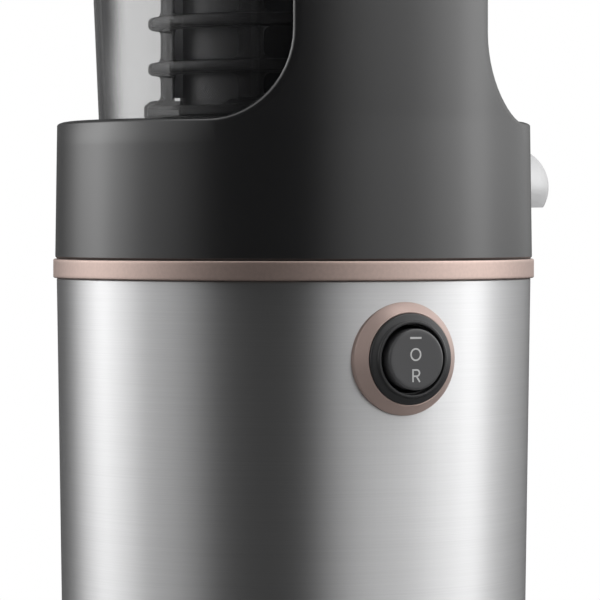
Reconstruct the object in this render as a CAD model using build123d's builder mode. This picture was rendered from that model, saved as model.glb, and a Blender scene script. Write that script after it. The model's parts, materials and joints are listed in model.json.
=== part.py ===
from build123d import *
from math import acos, cos, pi, radians, sin, tan
import os

os.makedirs("parts", exist_ok=True)

# Vertical slow juicer, millimetres. The origin is on the table, under the axis of the drive and the bowl.
# +Z is up. The juice spout is in front (-Y), the pulp spout on the left (-X), tower and switch are behind.

# Base outside
foot_height = 3.0
foot_radius = 8.0
foot_inset = 19.0  # from the skirt's face to the middle of a foot
plate_thickness = 4.0
skirt_step = 0.4  # the skirt lies this far inside the sleeve's foot
skirt_wall = 2.6
skirt_top = 18.0
sleeve_taper = 2.5
sleeve_wall = 0.9
sleeve_height = 160.7
band_proud = 1.1  # beyond the sleeve's top
band_height = 6.3
collar_step = 0.6  # the collar's foot lies this far inside the band
collar_taper = 0.6
collar_height = 43.5
collar_corner = 2.2
collar_ledge = 14.2  # from the bowl's widest outside to the collar's, were they on one axis
housing_wall = 2.2

# Tower: the collar's own round wall carried up at the back, over the switch
back_angle = 71.5  # from +X, seen from above
tower_half_angle = 26.0
tower_gap = 1.0  # between its top and the lid
tower_clearance = 1.2  # round the bowl
cove_radius = 25.0  # of the sweep from its edges into the rim, measured round the collar

# Bowl, on the drive's axis, which lies forward of the case's own
case_setback = 4.0
bowl_foot_radius = 57.3
bowl_radius = 60.6
bowl_wall = 2.4
bowl_floor = 3.0
bowl_draft_height = 76.0
bowl_height = 132.0
neck_bore = 8.0
neck_wall = 3.0
neck_height = 16.0
pulp_wall_bore = 30.5
pulp_wall = 2.5
pulp_wall_height = 32.5
well_gap = 1.2  # round the bowl, at the rim
well_wall = 1.8
well_floor = 3.0
pulp_tube_radius = 11.8
pulp_tube_height = 18.0  # above the bowl's foot, at the tube's axis
pulp_nozzle_radius = 14.0
pulp_nozzle_reach = 30.3  # from the band to the centre of the nose
pulp_mouth_drop = 6.8  # from the tube's axis down to the mouth
juice_tube_radius = 8.0
juice_tube_height = 13.0
juice_nozzle_radius = 10.0
juice_nozzle_reach = 12.0  # from the band to the centre of the nose
juice_mouth_drop = 9.0
tube_wall = 1.8
nozzle_gap = 0.2
notch_gap = 0.8
nozzle_flange = 2.0

# Strainer, cage and auger
drum_radius = 33.0
drum_wall = 1.4
mesh_wall = 0.6
drum_height = 87.0
strainer_plate = 2.1
strainer_plate_bore = 26.0
cage_radius = 39.7
cage_wall = 3.2
cage_ring_radius = 43.3
cage_ring_height = 3.7
cage_ring_pitch = 14.3
cage_ring_count = 5
cage_first_ring = 8.4  # above the flange
cage_flange_radius = 44.6
cage_flange_height = 5.1
cage_window_count = 6
cage_rib_width = 9.0
wiper_count = 6
wiper_width = 2.0
auger_radius = 30.2
auger_core_foot = 21.0
auger_core_top = 12.0
auger_length = 70.0
auger_turns = 2.0
auger_starts = 2
auger_land = 36.0  # degrees of the section that one flight fills
auger_hub_radius = 13.0
auger_pin_radius = 5.0
auger_pin_length = 23.0
hex_length = 13.0

# Lid, chute and pusher
lid_thickness = 9.0
lid_skirt = 3.0
lid_wall = 2.0
lid_corner = 3.0
guide_lap = 3.0  # how far the lid's guide ring reaches over the strainer
chute_depth = 20.0
chute_width = 38.0
chute_offset = 18.5  # from the bowl's axis
chute_wall = 2.4
chute_height = 84.0
tray_depth = 62.0
tray_width = 98.0
tray_height = 22.0
tray_wall = 2.2
tray_sink = 6.0  # how far the tray's flare starts below the chute's mouth
tray_grip = 8.0  # length of the socket that grips the chute
pusher_gap = 0.6
pusher_length = 78.0
pusher_head_height = 26.0
pusher_head_margin = 5.0

# Switch, high on the sleeve under the tower
switch_drop = 23.2  # from the sleeve's top to the switch's axis
switch_ring_radius = 17.05
switch_ring_rise = 3.5
bezel_radius = 13.7
bezel_rise = 4.3
bezel_bore = 10.6
bezel_lip = 1.3  # of the bore's rim above the bezel's edge
barrel_radius = 12.4
barrel_depth = 15.0
rocker_radius = 9.2
rocker_rise = 2.3  # of the face above the bore's rim
rocker_pivot = -3.0
rocker_pin_radius = 1.5

# Motor
shaft_radius = 5.0
fan_radius = 36.0
fan_height = 10.0
fan_gap = 5.0
fan_blades = 9
bracket_gap = 4.0
bracket_plate = 4.0
bracket_radius = 47.0
cup_height = 14.0
cup_wall = 1.8
stator_radius = 44.0
stator_height = 40.0
stator_bore = 25.0
stator_slots = 12
slot_depth = 11.0
slot_width = 6.4
end_turn_height = 6.0
air_gap = 0.4
bearing_radius = 11.0
bearing_width = 7.0
hub_radius = 14.5
bolt_radius = 2.0
bolt_circle = 40.6
mount_circle = 42.4
mount_radius = 4.6
running_gap = 0.05

# Gearbox, two planetary stages that share one ring gear
gear_module = 1.25
sun_teeth = 12
planet_teeth = 18
planet_count = 3
gear_width = 10.0
tooth_slack = 0.09
stage_gap = 2.0
carrier_plate = 4.0
planet_pin_radius = 2.5
gearbox_floor = 3.0
gearbox_wall = 4.0
ring_gear_wall = 5.0
cover_plate = 4.0
cover_hub_height = 14.0
bush_wall = 3.0
output_radius = 6.0

# Drive of the cage in the bowl
auger_teeth = 24
idler_teeth = 16
bowl_gear_width = 4.4
idler_pin_radius = 3.0
cage_rim_wall = 3.2

# Frame, fasteners and the electrical parts
frame_thickness = 4.0
frame_gap = 1.3
column_radius = 4.0
column_inset = 9.0  # from the skirt's face to a column's axis
column_angles = (30, 150, 210, 330)
screw_radius = 1.7
screw_head_radius = 3.4
screw_head_height = 1.6
screw_grip = 11.0
well_boss_circle = 44.0
well_boss_radius = 5.0
cover_boss_circle = 41.0
capacitor_radius = 10.6
capacitor_height = 55.0
gland_radius = 7.0
gland_height = 32.0
board_width = 48.0
board_height = 60.0
board_thickness = 1.6

# Radii of the case, outward from the bowl
bowl_widest = max(bowl_radius, bowl_foot_radius)
collar_top_radius = bowl_widest + collar_ledge
collar_bottom_radius = collar_top_radius + collar_taper
band_radius = collar_bottom_radius + collar_step
sleeve_top_radius = band_radius - band_proud
sleeve_bottom_radius = sleeve_top_radius - sleeve_taper
skirt_radius = sleeve_bottom_radius - skirt_step
foot_circle = skirt_radius - foot_inset
column_circle = skirt_radius - column_inset

# Levels and places that follow from the sizes above
plate_top = foot_height + plate_thickness
sleeve_top = skirt_top + sleeve_height
band_top = sleeve_top + band_height
rim = band_top + collar_height
frame_bottom = sleeve_top + frame_gap
frame_top = frame_bottom + frame_thickness
well_bottom = frame_top + well_floor
bowl_seat = well_bottom + well_floor
case_at = (0, case_setback)
bowl_top = bowl_seat + bowl_height
lid_bottom = bowl_top - lid_skirt
tower_top = lid_bottom - tower_gap
switch_height = sleeve_top - switch_drop
pulp_nose_reach = band_radius + pulp_nozzle_reach
juice_nose_reach = band_radius - case_setback + juice_nozzle_reach
pulp_level = bowl_seat + pulp_tube_height
juice_level = bowl_seat + juice_tube_height
strainer_level = bowl_seat + pulp_wall_height
gear_level = strainer_level + strainer_plate + 0.4
cage_level = gear_level - 0.1
flange_level = gear_level + bowl_gear_width
drum_top = strainer_level + strainer_plate + drum_height
neck_top = bowl_seat + neck_height
guide_level = drum_top + 0.6
guide_foot = guide_level - guide_lap
lid_top = bowl_top + lid_thickness
chute_at = (0, chute_offset)
chute_top = lid_top + chute_height
fan_bottom = plate_top + fan_gap
lower_bracket = fan_bottom + fan_height + bracket_gap
stator_bottom = lower_bracket + bracket_plate + cup_height
stator_top = stator_bottom + stator_height
gearbox_bottom = stator_top + cup_height + bracket_plate
first_gears = gearbox_bottom + gearbox_floor + stage_gap
first_plate = first_gears + gear_width + stage_gap
second_gears = first_plate + carrier_plate + stage_gap
second_plate = second_gears + gear_width + stage_gap
gearbox_top = second_plate + carrier_plate + stage_gap
cover_top = gearbox_top + cover_plate
orbit = gear_module * (sun_teeth + planet_teeth) / 2
idler_orbit = gear_module * (auger_teeth + idler_teeth) / 2
ring_teeth = sun_teeth + 2 * planet_teeth
cage_teeth = auger_teeth + 2 * idler_teeth
pressure = radians(25)
addendum = 0.9 * gear_module
dedendum = 1.15 * gear_module
ring_gear_radius = gear_module * ring_teeth / 2 + dedendum + ring_gear_wall
gearbox_radius = ring_gear_radius + gearbox_wall
hex_radius = output_radius
cap_gap = 0.4


def sleeve_radius(level):
    """Outside radius of the tapered sleeve at a height."""
    share = (level - skirt_top) / sleeve_height
    return sleeve_bottom_radius + share * (sleeve_top_radius - sleeve_bottom_radius)


def bowl_outside(level):
    """Outside radius of the bowl at a height."""
    share = min(1, (level - bowl_seat) / bowl_draft_height)
    return bowl_foot_radius + share * (bowl_radius - bowl_foot_radius)


well_radius = max(bowl_outside(rim), bowl_foot_radius) + well_gap
well_clear = well_radius + well_wall


def on_circle(radius, angle, at=(0, 0)):
    """Point on a circle, the angle in degrees from +X."""
    return at[0] + radius * cos(radians(angle)), at[1] + radius * sin(radians(angle))


def ring(outer, inner, low, high, at=(0, 0), mode=Mode.ADD):
    """Upright tube, or a disc where the inner radius is 0."""
    with BuildSketch(Plane.XY.offset(low)) as outline:
        with Locations(at):
            Circle(outer)
            if inner:
                Circle(inner, mode=Mode.SUBTRACT)
    extrude(outline.sketch, amount=high - low, mode=mode)


def discs(radius, low, high, places, mode=Mode.ADD):
    """One upright disc at each place."""
    for place in places:
        ring(radius, 0, low, high, place, mode)


def turned(points, at=(0, 0), mode=Mode.ADD):
    """Closed outline of (radius, height) points, turned about an upright axis."""
    plane = Plane(origin=(at[0], at[1], 0), x_dir=(1, 0, 0), z_dir=(0, -1, 0))
    with BuildSketch(plane) as outline:
        with BuildLine():
            Polyline(*points, close=True)
        make_face()
    revolve(outline.sketch, axis=Axis((at[0], at[1], 0), (0, 0, 1)), mode=mode)


def block(low, high, mode=Mode.ADD):
    """Box between two corners."""
    size = [high[i] - low[i] for i in range(3)]
    with Locations(low):
        Box(*size, align=(Align.MIN, Align.MIN, Align.MIN), mode=mode)


def slot_prism(width, depth, low, high, at, mode=Mode.ADD):
    """Upright prism with a round-ended section, longest along X."""
    with BuildSketch(Plane.XY.offset(low)) as outline:
        with Locations(at):
            SlotOverall(width, depth)
    extrude(outline.sketch, amount=high - low, mode=mode)


def level_rod(radius, start, end, mode=Mode.ADD):
    """Round rod between two points at one height or any other direction."""
    along = Vector(*end) - Vector(*start)
    with BuildSketch(Plane(origin=start, z_dir=along.normalized())) as outline:
        Circle(radius)
    extrude(outline.sketch, amount=along.length, mode=mode)


def half_tooth(teeth, radius, slack):
    """Half the angle, in radians, that an involute tooth fills at a radius."""
    pitch = gear_module * teeth / 2
    base = pitch * cos(pressure)

    def involute(at_radius):
        turn = acos(base / max(at_radius, base))
        return tan(turn) - turn

    return pi / (2 * teeth) - slack / pitch + involute(pitch) - involute(radius)


def gear_outline(teeth, turn, slack, inside=False):
    """Corners of a gear, or of the cutter that leaves an internal gear."""
    pitch = gear_module * teeth / 2
    root = pitch - (addendum if inside else dedendum)
    tip = pitch + (dedendum if inside else addendum)
    start = max(root, pitch * cos(pressure))
    steps = 3
    radii = [start + (tip - start) * i / steps for i in range(steps + 1)]
    if start > root:
        radii.insert(0, root)
    corners = []
    for tooth in range(teeth):
        middle = radians(turn) + 2 * pi * tooth / teeth
        rising = [(r, middle - half_tooth(teeth, r, slack)) for r in radii]
        falling = [(r, middle + half_tooth(teeth, r, slack)) for r in reversed(radii)]
        corners += [(r * cos(a), r * sin(a)) for r, a in rising + falling]
    return corners


def gear(teeth, turn, low, high, at=(0, 0), slack=tooth_slack, inside=False, mode=Mode.ADD):
    """Spur gear, or with inside=True the toothed hole of an internal gear."""
    with BuildSketch(Plane((at[0], at[1], low))) as outline:
        with BuildLine():
            Polyline(*gear_outline(teeth, turn, slack, inside), close=True)
        make_face()
    extrude(outline.sketch, amount=high - low, mode=mode)


def planet_turn(angle, sun, planet):
    """Turn in degrees that puts a planet in mesh with a sun whose first tooth is at 0."""
    return angle + 180 - (180 - angle * sun) / planet


def ring_turn(planet, ring_count):
    """Turn in degrees of the internal gear's first tooth space."""
    return 180 * (planet + 1) / ring_count


def save(piece, name):
    """Label a finished piece and write its file."""
    piece.part.label = name
    export_step(piece.part, f"parts/{name}.step")


# ---- Base shell ----

column_places = [on_circle(column_circle, angle, case_at) for angle in column_angles]
foot_places = [on_circle(foot_circle, angle, case_at) for angle in (45, 135, 225, 315)]
mount_places = [on_circle(mount_circle, angle) for angle in (45, 135, 225, 315)]
bolt_places = [on_circle(bolt_circle, angle) for angle in (0, 90, 180, 270)]
cover_boss_places = [on_circle(cover_boss_circle, angle) for angle in (15, 105, 195, 285)]
well_boss_places = [on_circle(well_boss_circle, angle) for angle in (60, 150, 240, 330)]
foot_stem_radius = 2.6
board_y = case_setback - skirt_radius + 13.0
board_post = 6.0
post_height = 13.0
vent_width = 3.6
vent_length = 20.0
vent_count = 16
vent_circle = 26.0

with BuildPart() as base_plate:
    ring(skirt_radius - skirt_wall - 0.2, 0, foot_height, plate_top, case_at)
    with BuildSketch(Plane.XY.offset(foot_height)) as vents:
        with PolarLocations(vent_circle, vent_count):
            SlotOverall(vent_length, vent_width)
    extrude(vents.sketch, amount=plate_thickness, mode=Mode.SUBTRACT)
    for side in (-1, 1):
        centre = side * (board_width / 2 - board_post)
        block(
            (centre - board_post / 2, board_y - board_post, plate_top),
            (centre + board_post / 2, board_y + board_post, plate_top + post_height),
        )
    block(
        (-board_width / 2 - 0.2, board_y - board_thickness / 2, plate_top + 2),
        (board_width / 2 + 0.2, board_y + board_thickness / 2, plate_top + post_height + 1),
        mode=Mode.SUBTRACT,
    )
    discs(foot_stem_radius, foot_height, plate_top, foot_places, Mode.SUBTRACT)
    discs(screw_radius, foot_height, plate_top, column_places, Mode.SUBTRACT)
save(base_plate, "base_plate")

with BuildPart() as rubber_feet:
    for place in foot_places:
        turned(
            [
                (0, 0),
                (foot_radius - 1, 0),
                (foot_radius, 1),
                (foot_radius, foot_height),
                (foot_stem_radius, foot_height),
                (foot_stem_radius, plate_top + 1.5),
                (0, plate_top + 1.5),
            ],
            place,
        )
save(rubber_feet, "rubber_feet")

spigot_height = 6.0
gland_inside = case_setback + skirt_radius - 9
gland_outside = case_setback + skirt_radius + 9
spigot_radius = sleeve_bottom_radius - sleeve_wall - 0.1
skirt_bore = skirt_radius - skirt_wall
with BuildPart() as base_skirt:
    turned(
        [
            (skirt_bore, foot_height - 0.6),
            (skirt_radius - 1.2, foot_height - 0.6),
            (skirt_radius, foot_height + 0.6),
            (skirt_radius, skirt_top),
            (spigot_radius, skirt_top),
            (spigot_radius, skirt_top + spigot_height),
            (skirt_bore, skirt_top + spigot_height),
        ],
        case_at,
    )
save(base_skirt, "base_skirt")

# A plane on the sleeve at the switch: x runs round the sleeve, y is up, z points outward
back = on_circle(1, back_angle)
switch_surface = sleeve_radius(switch_height)
switch_plane = Plane(
    origin=(*on_circle(switch_surface, back_angle, case_at), switch_height),
    x_dir=(-back[1], back[0], 0),
    z_dir=(back[0], back[1], 0),
)
switch_axis = Axis(switch_plane.origin, switch_plane.z_dir)


def switch_turned(points, mode=Mode.ADD):
    """Closed outline of (radius, outward) points, turned about the switch's own axis."""
    plane = Plane(origin=switch_plane.origin, x_dir=switch_plane.x_dir, z_dir=-switch_plane.y_dir)
    with BuildSketch(plane) as outline:
        with BuildLine():
            Polyline(*points, close=True)
        make_face()
    revolve(outline.sketch, axis=switch_axis, mode=mode)


def sleeve_body(inset, mode=Mode.ADD):
    """The space inside the sleeve's outer face, drawn in by an inset."""
    turned(
        [
            (0, skirt_top),
            (sleeve_bottom_radius - inset, skirt_top),
            (sleeve_top_radius - inset, sleeve_top),
            (0, sleeve_top),
        ],
        case_at,
        mode,
    )


gland_start = (0, gland_inside, gland_height)
gland_end = (0, gland_outside, gland_height)
with BuildPart() as steel_sleeve:
    sleeve_body(0)
    sleeve_body(sleeve_wall, Mode.SUBTRACT)
    hole = barrel_radius + 0.2
    switch_turned([(0, -barrel_depth), (hole, -barrel_depth), (hole, 10), (0, 10)], Mode.SUBTRACT)
    level_rod(gland_radius, gland_start, gland_end, Mode.SUBTRACT)
save(steel_sleeve, "steel_sleeve")

frame_radius = sleeve_top_radius - sleeve_wall - 1.6
band_round = 0.9
with BuildPart() as accent_band:
    turned(
        [
            (frame_radius + 0.2, sleeve_top),
            (band_radius - band_round, sleeve_top),
            (band_radius - 0.25 * band_round, sleeve_top + 0.3 * band_round),
            (band_radius, sleeve_top + band_round),
            (band_radius, band_top - band_round),
            (band_radius - 0.25 * band_round, band_top - 0.3 * band_round),
            (band_radius - band_round, band_top),
            (frame_radius + 0.2, band_top),
        ],
        case_at,
    )
save(accent_band, "accent_band")

with BuildPart() as support_columns:
    for place in column_places:
        ring(column_radius, screw_radius, plate_top, frame_bottom, place)
save(support_columns, "support_columns")

with BuildPart() as top_frame:
    ring(frame_radius, 0, frame_bottom, frame_top, case_at)
    ring(hub_radius + 6, 0, frame_bottom, frame_top, mode=Mode.SUBTRACT)
    for places in (column_places, well_boss_places, cover_boss_places):
        discs(screw_radius, frame_bottom, frame_top, places, Mode.SUBTRACT)
save(top_frame, "top_frame")


def screw(place, head_level, head_up, grip=screw_grip):
    """Pan head screw, its head against a level and its shank on the far side."""
    side = 1 if head_up else -1
    head = sorted((head_level, head_level + side * screw_head_height))
    shank = sorted((head_level, head_level - side * grip))
    ring(screw_head_radius, 0, head[0], head[1], place)
    ring(screw_radius, 0, shank[0], shank[1], place)


with BuildPart() as case_screws:
    for place in column_places:
        screw(place, foot_height, False)
        screw(place, frame_top, True)
    for place in well_boss_places:
        screw(place, frame_bottom, False, frame_thickness + well_floor - 0.5)
    for place in cover_boss_places:
        screw(place, frame_top, True)
save(case_screws, "case_screws")

# ---- Upper housing: collar and tower in one moulding ----


def tube_notches():
    """Cut the ways, open at the top, that let the bowl's two outlet tubes lift out."""
    reach = band_radius + case_setback + 1
    pulp_radius = pulp_tube_radius + notch_gap
    juice_radius = juice_tube_radius + notch_gap
    level_rod(pulp_radius, (0, 0, pulp_level), (-reach, 0, pulp_level), Mode.SUBTRACT)
    block((-reach, -pulp_radius, pulp_level), (0, pulp_radius, rim + 1), Mode.SUBTRACT)
    level_rod(juice_radius, (0, 0, juice_level), (0, -reach, juice_level), Mode.SUBTRACT)
    block((-juice_radius, -reach, juice_level), (juice_radius, 0, rim + 1), Mode.SUBTRACT)


ledge_bore = well_radius + 0.1
tower_bore = bowl_widest + tower_clearance
tower_half_width = collar_top_radius * sin(radians(tower_half_angle))
cove_turn = radians(tower_half_angle) + cove_radius / collar_top_radius
cove_width = collar_top_radius * sin(cove_turn) - tower_half_width
tower_plane = Plane(origin=(*case_at, 0), x_dir=(-back[1], back[0], 0), z_dir=(back[0], back[1], 0))


def tower_form(inset, low, mode):
    """The tower as seen from behind, between its two coves, drawn in by a wall."""
    cove_end = tower_half_width + cove_width
    cove_top = rim + cove_radius
    with BuildSketch(tower_plane) as outline:
        with Locations((0, low)):
            Rectangle(2 * cove_end, tower_top - inset - low, align=(Align.CENTER, Align.MIN))
        for side in (-1, 1):
            with Locations((side * cove_end, cove_top)):
                Ellipse(cove_width + inset, cove_radius + inset, mode=Mode.SUBTRACT)
            with Locations((side * cove_end, (cove_top + tower_top) / 2)):
                Rectangle(2 * (cove_width + inset), tower_top - cove_top, mode=Mode.SUBTRACT)
    extrude(outline.sketch, amount=2 * collar_top_radius, mode=mode)


with BuildPart() as tower_space:
    ring(collar_top_radius - housing_wall, 0, rim - housing_wall - 1, tower_top, case_at)
    ring(tower_bore + housing_wall, 0, rim - housing_wall - 1, tower_top, mode=Mode.SUBTRACT)
    tower_form(housing_wall, rim - housing_wall - 1, Mode.INTERSECT)

with BuildPart() as upper_housing:
    ring(collar_top_radius, 0, rim - housing_wall, tower_top, case_at)
    ring(tower_bore, 0, rim - housing_wall, tower_top, mode=Mode.SUBTRACT)
    tower_form(0, rim - housing_wall, Mode.INTERSECT)
    turned(
        [
            (collar_bottom_radius - housing_wall, band_top),
            (collar_bottom_radius, band_top),
            (collar_top_radius, rim - collar_corner),
            (collar_top_radius - 0.3 * collar_corner, rim - 0.3 * collar_corner),
            (collar_top_radius - collar_corner, rim),
            (ledge_bore - case_setback - 1, rim),
            (ledge_bore - case_setback - 1, rim - housing_wall),
            (collar_top_radius - housing_wall, rim - housing_wall),
        ],
        case_at,
    )
    ring(ledge_bore, 0, rim - housing_wall - 1, rim + 0.01, mode=Mode.SUBTRACT)
    add(tower_space, mode=Mode.SUBTRACT)
    tube_notches()
save(upper_housing, "upper_housing")

with BuildPart() as bowl_well:
    ring(well_clear, 0, well_bottom, rim - housing_wall - 0.4)
    ring(well_radius, 0, bowl_seat, rim, mode=Mode.SUBTRACT)
    discs(well_boss_radius, frame_top, well_bottom, well_boss_places)
    discs(screw_radius, frame_top, well_bottom + 1, well_boss_places, Mode.SUBTRACT)
    ring(output_radius + bush_wall + 1, 0, well_bottom - 1, bowl_seat + 1, mode=Mode.SUBTRACT)
    tube_notches()
save(bowl_well, "bowl_well")

with BuildPart() as shaft_seal:
    ring(output_radius + bush_wall + 1, output_radius + running_gap, well_bottom, bowl_seat)
save(shaft_seal, "shaft_seal")

# ---- Switch ----

with BuildPart() as switch_ring:
    switch_turned(
        [
            (bezel_radius - 0.9, -3),
            (switch_ring_radius, -3),
            (switch_ring_radius, 0.1),
            (switch_ring_radius - 0.35, 0.4),
            (bezel_radius + 0.6, switch_ring_rise),
            (bezel_radius + 0.1, switch_ring_rise),
            (bezel_radius - 0.9, switch_ring_rise - 1.0),
        ]
    )
    sleeve_body(0, Mode.SUBTRACT)
save(switch_ring, "switch_ring")

bezel_round = 0.6
bezel_seat = 0.95  # width of the cone that rests in the ring
lip_width = 1.0
bezel_back = switch_ring_rise - bezel_seat + 0.05
with BuildPart() as switch_bezel:
    switch_turned(
        [
            (bezel_bore, -barrel_depth),
            (barrel_radius, -barrel_depth),
            (barrel_radius, bezel_back),
            (bezel_radius - bezel_seat, bezel_back),
            (bezel_radius, bezel_back + bezel_seat),
            (bezel_radius, bezel_rise - bezel_round),
            (bezel_radius - 0.3 * bezel_round, bezel_rise - 0.3 * bezel_round),
            (bezel_radius - bezel_round, bezel_rise),
            (bezel_bore + lip_width, bezel_rise + 0.3),
            (bezel_bore + 0.6 * lip_width, bezel_rise + bezel_lip),
            (bezel_bore + 0.2 * lip_width, bezel_rise + bezel_lip),
            (bezel_bore, bezel_rise + bezel_lip - 0.3),
        ]
    )
    with Locations(Location(switch_plane)):
        with Locations((0, 0, rocker_pivot)):
            pin_bore_radius = rocker_pin_radius + running_gap
            Cylinder(pin_bore_radius, 2 * barrel_radius - 1, rotation=(0, 90, 0), mode=Mode.SUBTRACT)
save(switch_bezel, "switch_bezel")

rocker_back = -7.0
rocker_face = bezel_rise + bezel_lip + rocker_rise
with BuildPart() as rocker_button:
    switch_turned(
        [
            (0, rocker_back),
            (rocker_radius - 3.2, rocker_back),
            (rocker_radius - 0.2, rocker_pivot),
            (rocker_radius, rocker_face - 0.7),
            (rocker_radius - 0.2, rocker_face - 0.2),
            (rocker_radius - 0.7, rocker_face),
            (0, rocker_face),
        ]
    )
    with Locations(Location(switch_plane)):
        with Locations((0, 0, rocker_pivot)):
            Cylinder(rocker_pin_radius, 2 * barrel_radius - 2, rotation=(0, 90, 0))
save(rocker_button, "rocker_button")

switch_depth = 4.0
with BuildPart() as switch_body:
    switch_turned(
        [
            (0, -barrel_depth - switch_depth),
            (barrel_radius, -barrel_depth - switch_depth),
            (barrel_radius, -barrel_depth),
            (bezel_bore - 0.1, -barrel_depth),
            (bezel_bore - 0.1, rocker_back - 4),
            (bezel_bore - 2, rocker_back - 4),
            (bezel_bore - 2, -barrel_depth),
            (0, -barrel_depth),
        ]
    )
save(switch_body, "switch_body")

terminal_length = 7.0
with BuildPart() as switch_terminals:
    for side in (-1, 0, 1):
        with Locations(Location(switch_plane)):
            with Locations((0, side * 6.5, -barrel_depth - switch_depth - terminal_length / 2)):
                Box(6.3, 0.8, terminal_length)
save(switch_terminals, "switch_terminals")

# ---- Electrical parts on the base plate ----

gland_face = case_setback + sleeve_radius(gland_height)
cord_bore = 3.6
with BuildPart() as cord_gland:
    level_rod(gland_radius, gland_start, (0, gland_face, gland_height))
    level_rod(gland_radius + 2, (0, gland_face + 0.3, gland_height), (0, gland_face + 3, gland_height))
    level_rod(gland_radius - 1, (0, gland_face, gland_height), gland_end)
    level_rod(cord_bore, gland_start, gland_end, Mode.SUBTRACT)
save(cord_gland, "cord_gland")

with BuildPart() as terminal_block:
    block((-12, gland_inside - 10, plate_top), (12, gland_inside, plate_top + 12))
    for column in (-8, 0, 8):
        ring(2.2, 0, plate_top + 9, plate_top + 13, (column, gland_inside - 5), Mode.SUBTRACT)
save(terminal_block, "terminal_block")

capacitor_at = (skirt_bore - capacitor_radius - 0.8, case_setback)
with BuildPart() as run_capacitor:
    ring(capacitor_radius, 0, plate_top, plate_top + capacitor_height, capacitor_at)
    capacitor_top = plate_top + capacitor_height
    for side in (-1, 1):
        ring(1.2, 0, capacitor_top, capacitor_top + 6, (capacitor_at[0] + side * 4, case_setback))
save(run_capacitor, "run_capacitor")

board_foot = plate_top + 2
relay = (-18, 0, 20, 38, 6.5)  # left, right, low and high on the board, and how far it stands proud
choke = (5, 18, 23, 48, 6)
driver = (-16, -6, 43, 55, 5)
with BuildPart() as control_board:
    block(
        (-board_width / 2, board_y - board_thickness / 2, board_foot),
        (board_width / 2, board_y + board_thickness / 2, board_foot + board_height),
    )
    board_front = board_y + board_thickness / 2
    for left, right, low, high, proud in (relay, choke, driver):
        block((left, board_front, board_foot + low), (right, board_front + proud, board_foot + high))
save(control_board, "control_board")

# ---- Motor ----

lower_bearing = lower_bracket + 2
upper_bearing = gearbox_bottom - 2 - bearing_width

with BuildPart() as motor_mounts:
    discs(mount_radius, plate_top, lower_bracket, mount_places)
save(motor_mounts, "motor_mounts")

bracket_vent_circle = (hub_radius + stator_radius) / 2 + 1
with BuildPart() as lower_bracket_part:
    ring(bracket_radius, shaft_radius + 1, lower_bracket, lower_bracket + bracket_plate)
    ring(stator_radius, stator_radius - cup_wall, lower_bracket + bracket_plate, stator_bottom)
    ring(hub_radius, shaft_radius + 1, lower_bracket, lower_bearing + bearing_width + 1)
    ring(bearing_radius, 0, lower_bearing, lower_bearing + bearing_width + 1, mode=Mode.SUBTRACT)
    with BuildSketch(Plane.XY.offset(lower_bracket)) as windows:
        with PolarLocations(bracket_vent_circle, 8, start_angle=22.5):
            SlotOverall(16, 7)
    extrude(windows.sketch, amount=bracket_plate, mode=Mode.SUBTRACT)
    discs(bolt_radius, lower_bracket, stator_bottom, bolt_places, Mode.SUBTRACT)
save(lower_bracket_part, "lower_bracket")

with BuildPart() as upper_bracket_part:
    ring(bracket_radius, shaft_radius + 1, gearbox_bottom - bracket_plate, gearbox_bottom)
    ring(stator_radius, stator_radius - cup_wall, stator_top, gearbox_bottom - bracket_plate)
    ring(hub_radius, shaft_radius + 1, upper_bearing - 1, gearbox_bottom)
    ring(bearing_radius, 0, upper_bearing - 1, upper_bearing + bearing_width, mode=Mode.SUBTRACT)
    with BuildSketch(Plane.XY.offset(gearbox_bottom - bracket_plate)) as windows:
        with PolarLocations(bracket_vent_circle, 8, start_angle=22.5):
            SlotOverall(16, 7)
    extrude(windows.sketch, amount=bracket_plate, mode=Mode.SUBTRACT)
    discs(bolt_radius, stator_top, gearbox_bottom, bolt_places, Mode.SUBTRACT)
save(upper_bracket_part, "upper_bracket")

with BuildPart() as motor_bearings:
    for level in (lower_bearing, upper_bearing):
        ring(bearing_radius, shaft_radius + running_gap, level, level + bearing_width)
save(motor_bearings, "motor_bearings")

with BuildPart() as through_bolts:
    for place in bolt_places:
        ring(bolt_radius, 0, lower_bracket, gearbox_bottom, place)
        ring(1.9 * bolt_radius, 0, lower_bracket - 2.4, lower_bracket, place)
save(through_bolts, "through_bolts")

slot_middle = stator_bore + 2 + slot_depth / 2
with BuildPart() as stator_core:
    ring(stator_radius, stator_bore, stator_bottom, stator_top)
    with BuildSketch(Plane.XY.offset(stator_bottom)) as slots:
        with PolarLocations(slot_middle, stator_slots, start_angle=180 / stator_slots):
            Rectangle(slot_depth, slot_width)
        with PolarLocations(stator_bore + 1, stator_slots, start_angle=180 / stator_slots):
            Rectangle(3, 2.2)
    extrude(slots.sketch, amount=stator_height, mode=Mode.SUBTRACT)
    discs(bolt_radius, stator_bottom, stator_top, bolt_places, Mode.SUBTRACT)
save(stator_core, "stator_core")

with BuildPart() as stator_windings:
    turn_outer = slot_middle + slot_depth / 2 - 0.2
    turn_inner = slot_middle - slot_depth / 2 + 0.2
    ring(turn_outer, turn_inner, stator_bottom - end_turn_height, stator_bottom)
    ring(turn_outer, turn_inner, stator_top, stator_top + end_turn_height)
    with BuildSketch(Plane.XY.offset(stator_bottom)) as bars:
        with PolarLocations(slot_middle, stator_slots, start_angle=180 / stator_slots):
            Rectangle(slot_depth - 0.4, slot_width - 0.4)
    extrude(bars.sketch, amount=stator_height)
save(stator_windings, "stator_windings")

rotor_radius = stator_bore - air_gap
with BuildPart() as rotor_core:
    ring(rotor_radius, shaft_radius, stator_bottom, stator_top)
    ring(rotor_radius - 1.5, hub_radius + 1, stator_bottom - 3, stator_bottom)
    ring(rotor_radius - 1.5, hub_radius + 1, stator_top, stator_top + 3)
save(rotor_core, "rotor_core")

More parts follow.
